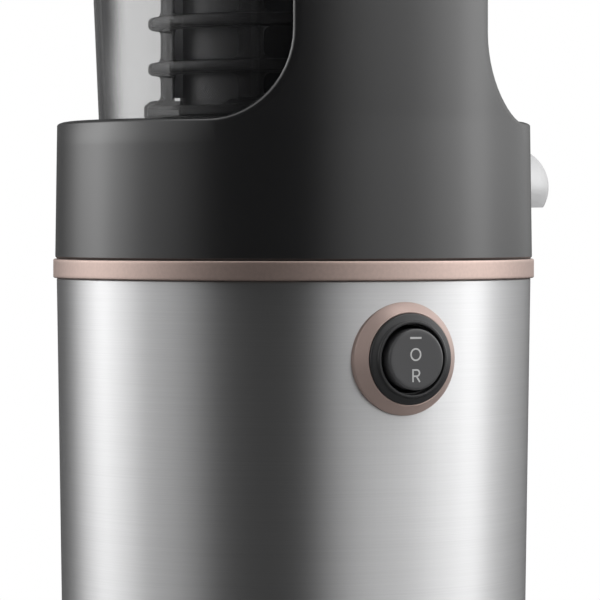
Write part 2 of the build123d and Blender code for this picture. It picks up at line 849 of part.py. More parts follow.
with BuildPart() as rotor_shaft:
    ring(shaft_radius, 0, fan_bottom - 1, first_gears + gear_width)
save(rotor_shaft, "rotor_shaft")

with BuildPart() as cooling_fan:
    ring(shaft_radius + 4, shaft_radius, fan_bottom, fan_bottom + fan_height)
    ring(fan_radius, shaft_radius, fan_bottom + fan_height - 1.6, fan_bottom + fan_height)
    with BuildSketch(Plane.XY.offset(fan_bottom)) as blades:
        with PolarLocations((fan_radius + shaft_radius + 6) / 2, fan_blades):
            Rectangle(fan_radius - shaft_radius - 6, 1.6, rotation=14)
    extrude(blades.sketch, amount=fan_height - 1)
save(cooling_fan, "cooling_fan")

# ---- Gearbox ----

first_planets = [on_circle(orbit, 360 * i / planet_count) for i in range(planet_count)]
sun_tip = gear_module * sun_teeth / 2 + addendum

with BuildPart() as first_sun_gear:
    gear(sun_teeth, 0, first_gears, first_gears + gear_width)
    ring(shaft_radius, 0, first_gears, first_gears + gear_width, mode=Mode.SUBTRACT)
save(first_sun_gear, "first_sun_gear")


def planets(names, low):
    """Three planets of one stage, each its own piece."""
    for index, name in enumerate(names):
        angle = 360 * index / planet_count
        centre = on_circle(orbit, angle)
        with BuildPart() as planet:
            gear(planet_teeth, planet_turn(angle, sun_teeth, planet_teeth), low, low + gear_width, centre)
            ring(planet_pin_radius + running_gap, 0, low, low + gear_width, centre, Mode.SUBTRACT)
        save(planet, name)


planets([f"first_planet_{letter}" for letter in "abc"], first_gears)
planets([f"second_planet_{letter}" for letter in "abc"], second_gears)

carrier_radius = orbit + planet_pin_radius + 4
with BuildPart() as first_carrier:
    ring(carrier_radius, 0, first_plate, first_plate + carrier_plate)
    discs(planet_pin_radius, first_gears - 0.5, first_plate, first_planets)
    ring(shaft_radius, 0, first_plate + carrier_plate, second_gears + gear_width)
save(first_carrier, "first_carrier")

with BuildPart() as second_sun_gear:
    gear(sun_teeth, 0, second_gears - stage_gap, second_gears + gear_width)
    ring(shaft_radius, 0, second_gears - stage_gap, second_gears + gear_width, mode=Mode.SUBTRACT)
save(second_sun_gear, "second_sun_gear")

with BuildPart() as ring_gear:
    ring(ring_gear_radius, 0, gearbox_bottom + gearbox_floor, second_gears + gear_width + 1)
    gear(
        ring_teeth,
        ring_turn(planet_teeth, ring_teeth),
        gearbox_bottom + gearbox_floor,
        second_gears + gear_width + 1,
        slack=-tooth_slack,
        inside=True,
        mode=Mode.SUBTRACT,
    )
save(ring_gear, "ring_gear")

with BuildPart() as gearbox_housing:
    ring(gearbox_radius, sun_tip + 0.6, gearbox_bottom, gearbox_top)
    ring(ring_gear_radius, 0, gearbox_bottom + gearbox_floor, gearbox_top, mode=Mode.SUBTRACT)
save(gearbox_housing, "gearbox_housing")

hex_bottom = neck_top
with BuildPart() as second_carrier:
    ring(carrier_radius, 0, second_plate, second_plate + carrier_plate)
    discs(planet_pin_radius, second_gears - 0.5, second_plate, first_planets)
    ring(output_radius, 0, second_plate + carrier_plate, hex_bottom)
    with BuildSketch(Plane.XY.offset(hex_bottom)) as hexagon:
        RegularPolygon(hex_radius, 6)
    extrude(hexagon.sketch, amount=hex_length)
save(second_carrier, "second_carrier")

bush_bottom = second_plate + carrier_plate + 0.5
bush_top = cover_top + cover_hub_height
with BuildPart() as gearbox_cover:
    ring(bracket_radius, 0, gearbox_top, cover_top)
    ring(hub_radius, 0, gearbox_top, bush_top)
    discs(well_boss_radius, gearbox_top, frame_bottom, cover_boss_places)
    discs(screw_radius, gearbox_top + 1, frame_bottom, cover_boss_places, Mode.SUBTRACT)
    ring(output_radius + bush_wall, 0, gearbox_top, bush_top, mode=Mode.SUBTRACT)
save(gearbox_cover, "gearbox_cover")

with BuildPart() as output_bush:
    ring(output_radius + bush_wall, output_radius + running_gap, bush_bottom, bush_top)
save(output_bush, "output_bush")

# ---- Bowl and its outlets ----

draft_top = bowl_seat + bowl_draft_height
floor_top = bowl_seat + bowl_floor
pulp_wall_radius = pulp_wall_bore + pulp_wall
pulp_flange = band_radius + nozzle_flange / 2  # the outlets' flanges stand just clear of the band
juice_flange = band_radius - case_setback + nozzle_flange / 2
juice_bore = juice_tube_radius - tube_wall
pulp_bore = pulp_tube_radius - tube_wall
tube_engagement = 6.0

with BuildPart() as bowl:
    turned(
        [
            (neck_bore, bowl_seat),
            (bowl_foot_radius, bowl_seat),
            (bowl_radius, draft_top),
            (bowl_radius, bowl_top),
            (bowl_radius - bowl_wall, bowl_top),
            (bowl_radius - bowl_wall, draft_top),
            (bowl_outside(floor_top) - bowl_wall, floor_top),
            (pulp_wall_radius, floor_top),
            (pulp_wall_radius, strainer_level),
            (pulp_wall_bore, strainer_level),
            (pulp_wall_bore, floor_top),
            (neck_bore + neck_wall, floor_top),
            (neck_bore + neck_wall, neck_top),
            (neck_bore, neck_top),
        ]
    )
    pulp_start = (1 - pulp_wall_bore, 0, pulp_level)
    pulp_end = (-pulp_flange - nozzle_flange - tube_engagement, 0, pulp_level)
    level_rod(pulp_tube_radius, (-pulp_wall_bore - 1, 0, pulp_level), pulp_end)
    level_rod(pulp_bore, pulp_start, (pulp_end[0] - 1, 0, pulp_level), Mode.SUBTRACT)
    juice_start = (0, bowl_wall + 3 - bowl_foot_radius, juice_level)
    juice_end = (0, -juice_flange - nozzle_flange - tube_engagement, juice_level)
    level_rod(juice_tube_radius, (0, 1 - bowl_foot_radius, juice_level), juice_end)
    level_rod(juice_bore, juice_start, (0, juice_end[1] - 1, juice_level), Mode.SUBTRACT)
save(bowl, "bowl")

pulp_inside = pulp_tube_radius + nozzle_gap
pulp_mouth = pulp_level - pulp_mouth_drop
pulp_nose = (-pulp_nose_reach, 0, pulp_level)
flange_end = (-pulp_flange - nozzle_flange, 0, pulp_level)
lip_start = pulp_flange + nozzle_flange + tube_engagement + 1
with BuildPart() as pulp_nozzle:
    level_rod(pulp_nozzle_radius, (-pulp_flange, 0, pulp_level), pulp_nose)
    level_rod(pulp_nozzle_radius + 1.5, (-pulp_flange, 0, pulp_level), flange_end)
    with Locations(pulp_nose):
        Sphere(pulp_nozzle_radius)
        Cylinder(pulp_nozzle_radius, pulp_mouth_drop, align=(Align.CENTER, Align.CENTER, Align.MAX))
    block((-200, -40, 0), (-lip_start, 40, pulp_mouth), Mode.SUBTRACT)
    level_rod(pulp_inside, (-pulp_flange + 1, 0, pulp_level), pulp_nose, Mode.SUBTRACT)
    with Locations(pulp_nose):
        Sphere(pulp_inside, mode=Mode.SUBTRACT)
        Cylinder(pulp_inside, 30, align=(Align.CENTER, Align.CENTER, Align.MAX), mode=Mode.SUBTRACT)
save(pulp_nozzle, "pulp_nozzle")

juice_inside = juice_tube_radius + nozzle_gap
juice_mouth = juice_level - juice_mouth_drop
juice_nose = (0, -juice_nose_reach, juice_level)
cap_knuckle = 2.6
cap_pin_radius = 1.2
cap_arm_width = 7.0
ear_width = 2.0
ear_gap = 0.4
pivot_y = -juice_nose_reach - juice_nozzle_radius - cap_knuckle - 0.5
pivot_z = juice_level + 2.0
ear_inner = cap_arm_width / 2 + ear_gap
with BuildPart() as juice_nozzle:
    level_rod(juice_nozzle_radius, (0, -juice_flange, juice_level), juice_nose)
    level_rod(
        juice_nozzle_radius + 1.5,
        (0, -juice_flange, juice_level),
        (0, -juice_flange - nozzle_flange, juice_level),
    )
    with Locations(juice_nose):
        Sphere(juice_nozzle_radius)
        Cylinder(juice_nozzle_radius, juice_mouth_drop, align=(Align.CENTER, Align.CENTER, Align.MAX))
    for side in (-1, 1):
        with BuildSketch(Plane.YZ.offset(side * ear_inner)) as ear:
            with BuildLine():
                Polyline(
                    (-juice_nose_reach - 4, pivot_z - cap_knuckle),
                    (pivot_y, pivot_z - cap_knuckle),
                    (pivot_y, pivot_z + cap_knuckle),
                    (-juice_nose_reach - 4, pivot_z + cap_knuckle),
                    close=True,
                )
            make_face()
            with Locations((pivot_y, pivot_z)):
                Circle(cap_knuckle)
        extrude(ear.sketch, amount=side * ear_width)
    block((-20, -200, 0), (20, -juice_nose_reach + juice_nozzle_radius + 1, juice_mouth), Mode.SUBTRACT)
    level_rod(juice_inside, (0, -juice_flange + 1, juice_level), juice_nose, Mode.SUBTRACT)
    with Locations(juice_nose):
        Sphere(juice_inside, mode=Mode.SUBTRACT)
        Cylinder(juice_inside, 30, align=(Align.CENTER, Align.CENTER, Align.MAX), mode=Mode.SUBTRACT)
    level_rod(cap_pin_radius, (-20, pivot_y, pivot_z), (20, pivot_y, pivot_z), Mode.SUBTRACT)
save(juice_nozzle, "juice_nozzle")

pin_half = ear_inner + ear_width
with BuildPart() as cap_pin:
    level_rod(cap_pin_radius, (-pin_half, pivot_y, pivot_z), (pin_half, pivot_y, pivot_z))
save(cap_pin, "cap_pin")

cap_thickness = 2.6
cap_top = juice_mouth - cap_gap
arm_front = pivot_y - cap_knuckle
with BuildPart() as drip_cap:
    ring(juice_nozzle_radius, 0, cap_top - cap_thickness, cap_top, (0, -juice_nose_reach))
    half = cap_arm_width / 2
    block((-half, arm_front, cap_top - cap_thickness), (half, -juice_nose_reach, cap_top))
    arm_back = -juice_nose_reach - juice_nozzle_radius - cap_gap
    block((-half, arm_front, cap_top - cap_thickness), (half, arm_back, pivot_z))
    level_rod(cap_knuckle, (-half, pivot_y, pivot_z), (half, pivot_y, pivot_z))
    level_rod(cap_pin_radius + running_gap, (-20, pivot_y, pivot_z), (20, pivot_y, pivot_z), Mode.SUBTRACT)
save(drip_cap, "drip_cap")

# ---- Strainer, cage and auger ----

plate_radius = cage_radius + 1.2
strainer_plate_top = strainer_level + strainer_plate
idler_at = (idler_orbit, 0)
idler_tip = gear_module * idler_teeth / 2 + addendum
spigot_gap = 0.3
with BuildPart() as strainer_base:
    ring(plate_radius, strainer_plate_bore, strainer_level, strainer_plate_top)
    ring(
        pulp_wall_bore - spigot_gap,
        pulp_wall_bore - spigot_gap - 1.8,
        strainer_level - 4,
        strainer_level,
    )
    ring(idler_pin_radius + 4, 0, strainer_level, strainer_plate_top, idler_at)
    ring(idler_pin_radius, 0, strainer_plate_top, flange_level + 0.6, idler_at)
save(strainer_base, "strainer_base")

with BuildPart() as idler_gear:
    gear(idler_teeth, planet_turn(0, auger_teeth, idler_teeth), gear_level, flange_level, idler_at)
    ring(idler_pin_radius + running_gap, 0, gear_level, flange_level, idler_at, Mode.SUBTRACT)
save(idler_gear, "idler_gear")

drum_bore = drum_radius - drum_wall
first_ring = flange_level + cage_flange_height + cage_first_ring
drum_window_count = 12
drum_post = 3.0
drum_window_height = 10.2
with BuildPart() as strainer_drum:
    ring(drum_radius, drum_bore, strainer_plate_top, drum_top)
    for row in range(cage_ring_count):
        middle = first_ring + row * cage_ring_pitch - (cage_ring_pitch - cage_ring_height) / 2
        width = 2 * pi * drum_radius / drum_window_count - drum_post
        with PolarLocations(drum_radius, drum_window_count):
            with Locations((0, 0, middle)):
                Box(8, width, drum_window_height, mode=Mode.SUBTRACT)
    block(
        (0, -idler_tip - 0.4, strainer_plate_top),
        (idler_orbit + 20, idler_tip + 0.4, flange_level + 0.8),
        Mode.SUBTRACT,
    )
save(strainer_drum, "strainer_drum")

with BuildPart() as strainer_mesh:
    ring(drum_bore, drum_bore - mesh_wall, flange_level + 1.2, drum_top)
save(strainer_mesh, "strainer_mesh")

cage_bore = cage_radius - cage_wall
cage_rim_root = gear_module * cage_teeth / 2 + dedendum
cage_top = first_ring + (cage_ring_count - 1) * cage_ring_pitch + cage_ring_height + 8
window_height = cage_ring_pitch - cage_ring_height - 0.6
with BuildPart() as brush_cage:
    ring(cage_rim_root + cage_rim_wall, 0, cage_level, flange_level)
    gear(
        cage_teeth,
        ring_turn(idler_teeth, cage_teeth),
        cage_level,
        flange_level,
        slack=-tooth_slack,
        inside=True,
        mode=Mode.SUBTRACT,
    )
    turned(
        [
            (drum_radius + 0.6, flange_level),
            (cage_flange_radius, flange_level),
            (cage_flange_radius, flange_level + 0.7 * cage_flange_height),
            (cage_flange_radius - 1.6, flange_level + cage_flange_height),
            (drum_radius + 0.6, flange_level + cage_flange_height),
        ]
    )
    ring(cage_radius, cage_bore, flange_level + cage_flange_height, cage_top)
    for row in range(cage_ring_count):
        level = first_ring + row * cage_ring_pitch
        ring(cage_ring_radius, cage_bore, level, level + cage_ring_height)
    for row in range(cage_ring_count):
        middle = first_ring + row * cage_ring_pitch - (cage_ring_pitch - cage_ring_height) / 2
        width = 2 * pi * cage_radius / cage_window_count - cage_rib_width
        with PolarLocations(cage_radius, cage_window_count):
            with Locations((0, 0, middle)):
                Box(2 * cage_wall + 2, width, window_height, mode=Mode.SUBTRACT)
save(brush_cage, "brush_cage")

wiper_foot = flange_level + cage_flange_height + 1
with BuildPart() as wiper_strips:
    for index in range(wiper_count):
        angle = 180 / cage_window_count + 360 * index / wiper_count
        wiper_at = on_circle((drum_radius + cage_bore) / 2 + 0.15, angle)
        with Locations(Location((*wiper_at, wiper_foot), (0, 0, angle))):
            Box(
                cage_bore - drum_radius - 0.6,
                wiper_width,
                guide_foot - wiper_foot - 1,
                align=(Align.CENTER, Align.CENTER, Align.MIN),
            )
save(wiper_strips, "wiper_strips")

hub_bottom = neck_top + 0.4
auger_foot = flange_level + 0.8
auger_top = auger_foot + auger_length
root_depth = 1.0
with BuildSketch(Plane.XY.offset(auger_foot)) as flight_section:
    Circle(auger_core_top + root_depth)
    with PolarLocations(0, auger_starts):
        with BuildLine():
            Line((0, 0), on_circle(auger_radius, -auger_land / 2))
            tip_edge = CenterArc((0, 0), auger_radius, -auger_land / 2, auger_land)
            Line(tip_edge @ 1, (0, 0))
        make_face()
flights = Solid.extrude_linear_with_rotation(
    flight_section.sketch.faces()[0],
    (0, 0, auger_foot),
    (0, 0, auger_length),
    360 * auger_turns,
)
core_shoulder = 3.0
hex_clear = 0.3
with BuildPart() as auger:
    add(flights)
    ring(auger_hub_radius, 0, hub_bottom, gear_level)
    gear(auger_teeth, 0, gear_level, flange_level)
    turned(
        [
            (0, flange_level),
            (auger_hub_radius, flange_level),
            (auger_core_foot, auger_foot),
            (auger_core_foot, auger_foot + core_shoulder),
            (auger_core_top, auger_top),
            (auger_pin_radius, auger_top + 2),
            (auger_pin_radius, auger_top + auger_pin_length),
            (0, auger_top + auger_pin_length),
        ]
    )
    with BuildSketch(Plane.XY.offset(hub_bottom)) as socket:
        RegularPolygon(hex_radius + hex_clear, 6)
    extrude(socket.sketch, amount=neck_top + hex_length + 1 - hub_bottom, mode=Mode.SUBTRACT)
save(auger, "auger")

# ---- Lid, chute, tray and pusher ----

lid_gap = 0.3
lid_plate = 2.6
bowl_inside = bowl_radius - bowl_wall
seal_width = 1.7
seal_height = 4.0
plug_radius = bowl_inside - lid_gap - seal_width
guide_radius = cage_bore - 0.9
guide_plate = 2.2
pin_bore = auger_pin_radius + lid_gap
boss_radius = chute_offset - chute_depth / 2 - 0.6
chute_outer_width = chute_width + 2 * chute_wall
chute_outer_depth = chute_depth + 2 * chute_wall

lid_radius = bowl_radius + lid_gap + lid_wall
lid_ceiling = lid_top - lid_plate
with BuildPart() as lid_pocket:
    ring(collar_top_radius - lid_wall - 1, 0, lid_bottom, lid_ceiling, case_at)
    ring(lid_radius, 0, lid_bottom, lid_ceiling, mode=Mode.SUBTRACT)
    with BuildSketch(tower_plane) as pocket_view:
        with Locations((0, lid_bottom)):
            pocket_width = 2 * (tower_half_width - lid_wall)
            Rectangle(pocket_width, lid_ceiling - lid_bottom, align=(Align.CENTER, Align.MIN))
    extrude(pocket_view.sketch, amount=2 * collar_top_radius, mode=Mode.INTERSECT)

with BuildPart() as lid:
    with BuildSketch(Plane.XY.offset(lid_bottom)):
        Circle(lid_radius)
        with BuildLine():
            rear_start = back_angle - tower_half_angle
            rear = CenterArc(case_at, collar_top_radius, rear_start, 2 * tower_half_angle)
            Line(rear @ 1, rear @ 0)
        make_face()
        make_hull()
    extrude(amount=lid_top - lid_bottom)
    fillet(lid.edges().group_by(Axis.Z)[-1], lid_corner)
    add(lid_pocket, mode=Mode.SUBTRACT)
    ring(bowl_radius + lid_gap, 0, lid_bottom, bowl_top, mode=Mode.SUBTRACT)
    ring(plug_radius - lid_wall, 0, bowl_top, lid_ceiling, mode=Mode.SUBTRACT)
    ring(plug_radius, plug_radius - lid_wall, bowl_top - seal_height - 1, bowl_top)
    ring(guide_radius, guide_radius - lid_wall, guide_foot, lid_ceiling)
    ring(guide_radius, 0, guide_level, guide_level + guide_plate)
    ring(boss_radius, 0, guide_level, lid_ceiling)
    slot_prism(chute_outer_width, chute_outer_depth, guide_level, chute_top, chute_at)
    slot_prism(chute_width, chute_depth, guide_level - 1, chute_top + 1, chute_at, Mode.SUBTRACT)
    ring(pin_bore, 0, guide_level - 1, auger_top + auger_pin_length + 0.6, mode=Mode.SUBTRACT)
save(lid, "lid")

with BuildPart() as lid_seal:
    ring(plug_radius + seal_width, plug_radius, bowl_top - seal_height - 0.5, bowl_top - 0.5)
save(lid_seal, "lid_seal")

tray_low = chute_top - tray_sink
tray_high = tray_low + tray_height
tray_collar = tray_low - tray_grip
fit_gap = 0.2
sleeve_width = chute_outer_width + 2 * (fit_gap + tray_wall)
sleeve_depth = chute_outer_depth + 2 * (fit_gap + tray_wall)


def tray_form(grow, low, high, mode=Mode.ADD):
    """Flared form of the tray, drawn in or out by a wall."""
    with BuildSketch(Plane.XY.offset(low)) as foot:
        with Locations(chute_at):
            SlotOverall(sleeve_width + 2 * grow, sleeve_depth + 2 * grow)
    with BuildSketch(Plane.XY.offset(high)) as mouth:
        with Locations(chute_at):
            SlotOverall(tray_width + 2 * grow, tray_depth + 2 * grow)
    loft([foot.sketch, mouth.sketch], mode=mode)


with BuildPart() as feed_tray:
    tray_form(0, tray_low, tray_high)
    tray_form(-tray_wall, tray_low + tray_wall, tray_high + 0.01, Mode.SUBTRACT)
    slot_prism(sleeve_width, sleeve_depth, tray_collar, tray_low, chute_at)
    slot_prism(
        chute_outer_width + 2 * fit_gap,
        chute_outer_depth + 2 * fit_gap,
        tray_collar - 1,
        tray_high,
        chute_at,
        Mode.SUBTRACT,
    )
save(feed_tray, "feed_tray")

head_plate = 4.0
grip_inset = 4.0
with BuildPart() as pusher:
    slot_prism(
        chute_outer_width + pusher_head_margin - 2 * grip_inset,
        chute_outer_depth + pusher_head_margin - 2 * grip_inset,
        chute_top,
        chute_top + pusher_head_height,
        chute_at,
    )
    fillet(pusher.edges().group_by(Axis.Z)[-1], 3)
    slot_prism(
        chute_outer_width + pusher_head_margin,
        chute_outer_depth + pusher_head_margin,
        chute_top,
        chute_top + head_plate,
        chute_at,
    )
    slot_prism(
        chute_width - 2 * pusher_gap,
        chute_depth - 2 * pusher_gap,
        chute_top - pusher_length,
        chute_top,
        chute_at,
    )
save(pusher, "pusher")
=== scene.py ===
import json
from math import asin, atan2, cos, pi, radians, sin, sqrt, tan

import bmesh
import bpy
from mathutils import Matrix, Vector


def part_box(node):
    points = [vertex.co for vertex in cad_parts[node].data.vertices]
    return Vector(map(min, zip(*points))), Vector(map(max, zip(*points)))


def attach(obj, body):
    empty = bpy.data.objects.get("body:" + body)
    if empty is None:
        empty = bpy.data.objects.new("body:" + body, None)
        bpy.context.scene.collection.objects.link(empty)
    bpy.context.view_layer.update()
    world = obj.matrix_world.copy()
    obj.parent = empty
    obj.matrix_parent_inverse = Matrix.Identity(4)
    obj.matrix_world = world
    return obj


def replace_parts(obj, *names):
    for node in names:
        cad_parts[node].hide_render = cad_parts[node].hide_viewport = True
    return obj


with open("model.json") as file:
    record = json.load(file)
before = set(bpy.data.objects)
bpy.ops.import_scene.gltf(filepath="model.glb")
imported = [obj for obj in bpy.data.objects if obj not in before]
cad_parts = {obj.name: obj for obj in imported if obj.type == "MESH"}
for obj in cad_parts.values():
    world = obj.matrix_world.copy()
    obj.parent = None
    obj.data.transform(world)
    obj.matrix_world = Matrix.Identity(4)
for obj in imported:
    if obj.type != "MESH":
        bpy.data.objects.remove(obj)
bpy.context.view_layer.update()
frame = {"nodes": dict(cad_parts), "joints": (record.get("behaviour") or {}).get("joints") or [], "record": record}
nodes = frame["nodes"]
mm = 0.001
print("frame loaded:", len(nodes), "nodes")


def span(node):
    # lowest and highest corner of a node, in millimetres
    low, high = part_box(node)
    return [v / mm for v in low], [v / mm for v in high]


bandLow, bandHigh = span("accent_band")
sleeveLow, sleeveHigh = span("steel_sleeve")
housingLow, housingHigh = span("upper_housing")
bezelLow, bezelHigh = span("switch_bezel")
bowlLow, bowlHigh = span("bowl")
caseY = (bandLow[1] + bandHigh[1]) / 2  # the case stands a little behind the drive
bandRadius = bandHigh[0]
rockerAxis = next(joint["axis"] for joint in frame["joints"] if joint["name"] == "rocker_hinge")
backAngle = atan2(-rockerAxis[0], rockerAxis[1])  # the rocker's pin lies across the way the switch faces

# Mesh helpers work in millimetres, and the finished mesh is scaled to metres.
leadLook = {"most": 0.6, "share": 0.4, "least": 0.02}  # the points before and after a rounded corner


def rounded(corners, closed=True, steps=4):
    # a corner is (across, up) or (across, up, radius)
    points = []
    count = len(corners)
    for i, corner in enumerate(corners):
        here = Vector(corner[:2])
        radius = corner[2] if len(corner) > 2 else 0
        if not radius or (not closed and i in (0, count - 1)):
            points.append(here)
            continue
        back = Vector(corners[i - 1][:2]) - here
        ahead = Vector(corners[(i + 1) % count][:2]) - here
        half = back.angle(ahead) / 2
        reach = min(radius / tan(half), 0.49 * back.length, 0.49 * ahead.length)
        start = here + back.normalized() * reach
        end = here + ahead.normalized() * reach
        bend = (back.normalized() + ahead.normalized()).normalized()
        centre = here + bend * (reach / cos(half))
        first, turnBy = start - centre, (start - centre).angle_signed(end - centre)
        # one point more on each side keeps the shading of the flats level
        lead = [min(leadLook["most"], leadLook["share"] * (way.length - reach) / 2) for way in (back, ahead)]
        if lead[0] > leadLook["least"]:
            points.append(start + back.normalized() * lead[0])
        for k in range(steps + 1):
            points.append(centre + Matrix.Rotation(-turnBy * k / steps, 2) @ first)
        if lead[1] > leadLook["least"]:
            points.append(end + ahead.normalized() * lead[1])
    return points


def bridge(bm, first, second, closed=True):
    count = len(first)
    for i in range(count if closed else count - 1):
        j = (i + 1) % count
        corners = []
        for vert in (first[i], first[j], second[j], second[i]):
            if vert not in corners:
                corners.append(vert)
        if len(corners) > 2:
            bm.faces.new(corners)


def loft(bm, rings, loop=False):
    # skins rings of points; loop joins the last to the first, otherwise both ends are closed
    made = [[bm.verts.new(p) for p in ring] for ring in rings]
    for first, second in zip(made, made[1:]):
        bridge(bm, first, second)
    if loop:
        bridge(bm, made[-1], made[0])
    else:
        bm.faces.new(made[0])
        bm.faces.new(made[-1])


def spin(bm, outline, at=(0, 0), segments=160, closed=True):
    # an outline of (radius, height) turned about an upright axis
    made = []
    for k in range(segments):
        c, s = cos(2 * pi * k / segments), sin(2 * pi * k / segments)
        made.append([bm.verts.new((at[0] + p[0] * c, at[1] + p[0] * s, p[1])) for p in outline])
    for k in range(segments):
        bridge(bm, made[k], made[(k + 1) % segments], closed)


def slotSpin(bm, outline, at, straight, count=72, loop=True):
    # like spin, but round a slot: an outline of (radius, height), or (radius, height, straight half)
    rings = []
    for p in outline:
        half = p[2] if len(p) > 2 else straight
        ring = []
        for k in range(count):
            angle = 2 * pi * (k + 0.5) / count
            side = half if cos(angle) > 0 else -half
            ring.append((at[0] + side + p[0] * cos(angle), at[1] + p[0] * sin(angle), p[1]))
        rings.append(ring)
    loft(bm, rings, loop)


def settle(bm, place=None):
    # cleans a bmesh and gives its mesh in metres
    bmesh.ops.remove_doubles(bm, verts=bm.verts, dist=1e-4)
    bmesh.ops.recalc_face_normals(bm, faces=bm.faces)
    if place is not None:
        bm.transform(place)
    bm.transform(Matrix.Scale(mm, 4))
    mesh = bpy.data.meshes.new("mesh")
    bm.to_mesh(mesh)
    bm.free()
    return mesh


def shade(mesh, sharp):
    mesh.shade_smooth()
    mesh.set_sharp_from_angle(angle=radians(sharp))


def piece(name, bm, slot, body, replaces=None, place=None, sharp=32, finish=None):
    mesh = settle(bm, place)
    mesh.name = name
    mesh.materials.append(finishes[finish or slot])
    shade(mesh, sharp)
    made = bpy.data.objects.new(name, mesh)
    bpy.context.scene.collection.objects.link(made)
    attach(made, body)
    if replaces:
        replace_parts(made, replaces)
    return made


def modify(made, kind, sharp=32, **settings):
    # applies one modifier at once
    step = made.modifiers.new("step", kind)
    for key, value in settings.items():
        setattr(step, key, value)
    bpy.context.view_layer.update()
    graph = bpy.context.evaluated_depsgraph_get()
    mesh = bpy.data.meshes.new_from_object(made.evaluated_get(graph))
    made.modifiers.clear()
    made.data = mesh
    shade(mesh, sharp)


def carve(made, bm, place=None, sharp=32, operation="DIFFERENCE"):
    # cuts a closed bmesh out of a piece, or joins it on
    cutter = bpy.data.objects.new("cutter", settle(bm, place))
    bpy.context.scene.collection.objects.link(cutter)
    modify(made, "BOOLEAN", sharp, operation=operation, solver="EXACT", object=cutter)
    bpy.data.objects.remove(cutter)


def soften(made, width, segments=3, sharp=50):
    # rounds the sharp edges that a cut leaves
    modify(made, "BEVEL", sharp, width=width * mm, segments=segments, limit_method="ANGLE",
           angle_limit=radians(40), use_clamp_overlap=True)


def box(bm, low, high):
    foot = [(low[0], low[1]), (high[0], low[1]), (high[0], high[1]), (low[0], high[1])]
    loft(bm, [[(x, y, z) for x, y in foot] for z in (low[2], high[2])])


# Shader helpers: a Wire is a node's socket that takes part in plain arithmetic.


def feed(socket, value):
    if isinstance(value, Wire):
        value.tree.links.new(value.socket, socket)
    elif value is not None:
        socket.default_value = value


class Wire:
    def __init__(self, tree, socket):
        self.tree, self.socket = tree, socket

    def math(self, operation, first, second):
        made = self.tree.nodes.new("ShaderNodeMath")
        made.operation = operation
        feed(made.inputs[0], first)
        feed(made.inputs[1], second)
        return Wire(self.tree, made.outputs[0])

    def sine(self):
        return self.math("SINE", self, None)

    def __add__(self, other): return self.math("ADD", self, other)
    def __radd__(self, other): return self.math("ADD", other, self)
    def __sub__(self, other): return self.math("SUBTRACT", self, other)
    def __rsub__(self, other): return self.math("SUBTRACT", other, self)
    def __mul__(self, other): return self.math("MULTIPLY", self, other)
    def __rmul__(self, other): return self.math("MULTIPLY", other, self)
    def __truediv__(self, other): return self.math("DIVIDE", self, other)
    def __pow__(self, other): return self.math("POWER", self, other)


class NodeKit:  # the nodes of one material or world
    def __init__(self, tree, shader):
        self.tree, self.shader = tree, tree.nodes[shader]

    def node(self, kind, settings=None, sockets=None, output=0):
        made = self.tree.nodes.new(kind)
        for key, value in (settings or {}).items():
            if key == "stops":
                for stop, (position, colour) in zip(made.color_ramp.elements, value):
                    stop.position, stop.color = position, colour
            else:
                setattr(made, key, value)
        for key, value in (sockets or {}).items():
            feed(made.inputs[key], value)
        return Wire(self.tree, made.outputs[output])

    def set(self, **sockets):
        for key, value in sockets.items():
            feed(self.shader.inputs[key.replace("_", " ")], value)

    def place(self):
        return self.node("ShaderNodeTexCoord", output="Object")

    def noise(self, scale, detail=2.0, stretch=None, roughness=0.55):
        at = self.place()
        if stretch:
            at = self.node("ShaderNodeMapping", None, {"Vector": at, "Scale": stretch})
        return self.node("ShaderNodeTexNoise", None, {"Vector": at, "Scale": scale, "Detail": detail,
                                                      "Roughness": roughness})

    def ease(self, value, low, high, first=0.0, last=1.0):
        return self.node("ShaderNodeMapRange", {"interpolation_type": "SMOOTHSTEP"},
                         {0: value, 1: low, 2: high, 3: first, 4: last})

    def mix(self, factor, first, last):
        return self.node("ShaderNodeMix", {"data_type": "RGBA"}, {0: factor, 6: first, 7: last}, 2)

    def bump(self, height, strength, distance):
        self.set(Normal=self.node("ShaderNodeBump", None, {"Height": height, "Strength": strength,
                                                           "Distance": distance}))


def newFinish(name, **sockets):
    material = bpy.data.materials.new(name)
    material.use_nodes = True
    kit = NodeKit(material.node_tree, "Principled BSDF")
    kit.material = material
    kit.set(**sockets)
    return kit


def tint(colour, by=1.0):
    return (colour[0] * by, colour[1] * by, colour[2] * by, 1.0)


def metal(name, colour, roughness, grain=0.03):
    kit = newFinish(name, Metallic=1.0)
    mottle = kit.noise(900)
    kit.set(Base_Color=kit.mix(kit.ease(mottle, 0.3, 0.7), tint(colour, 0.93), tint(colour)),
            Roughness=mottle * (2 * grain) + (roughness - grain))
    return kit


def plastic(name, colour, roughness, grain=0.02, texture=0.0, scale=2500, **sockets):
    kit = newFinish(name, **sockets)
    mottle = kit.noise(scale)
    kit.set(Base_Color=kit.mix(kit.noise(25), tint(colour, 0.9), tint(colour)),
            Roughness=mottle * (2 * grain) + (roughness - grain))
    if texture:
        kit.bump(mottle, texture, 0.00006)
    return kit


steelLook = {"colour": (0.64, 0.64, 0.645), "roughness": 0.42, "streak": 0.045, "grain": 0.12}


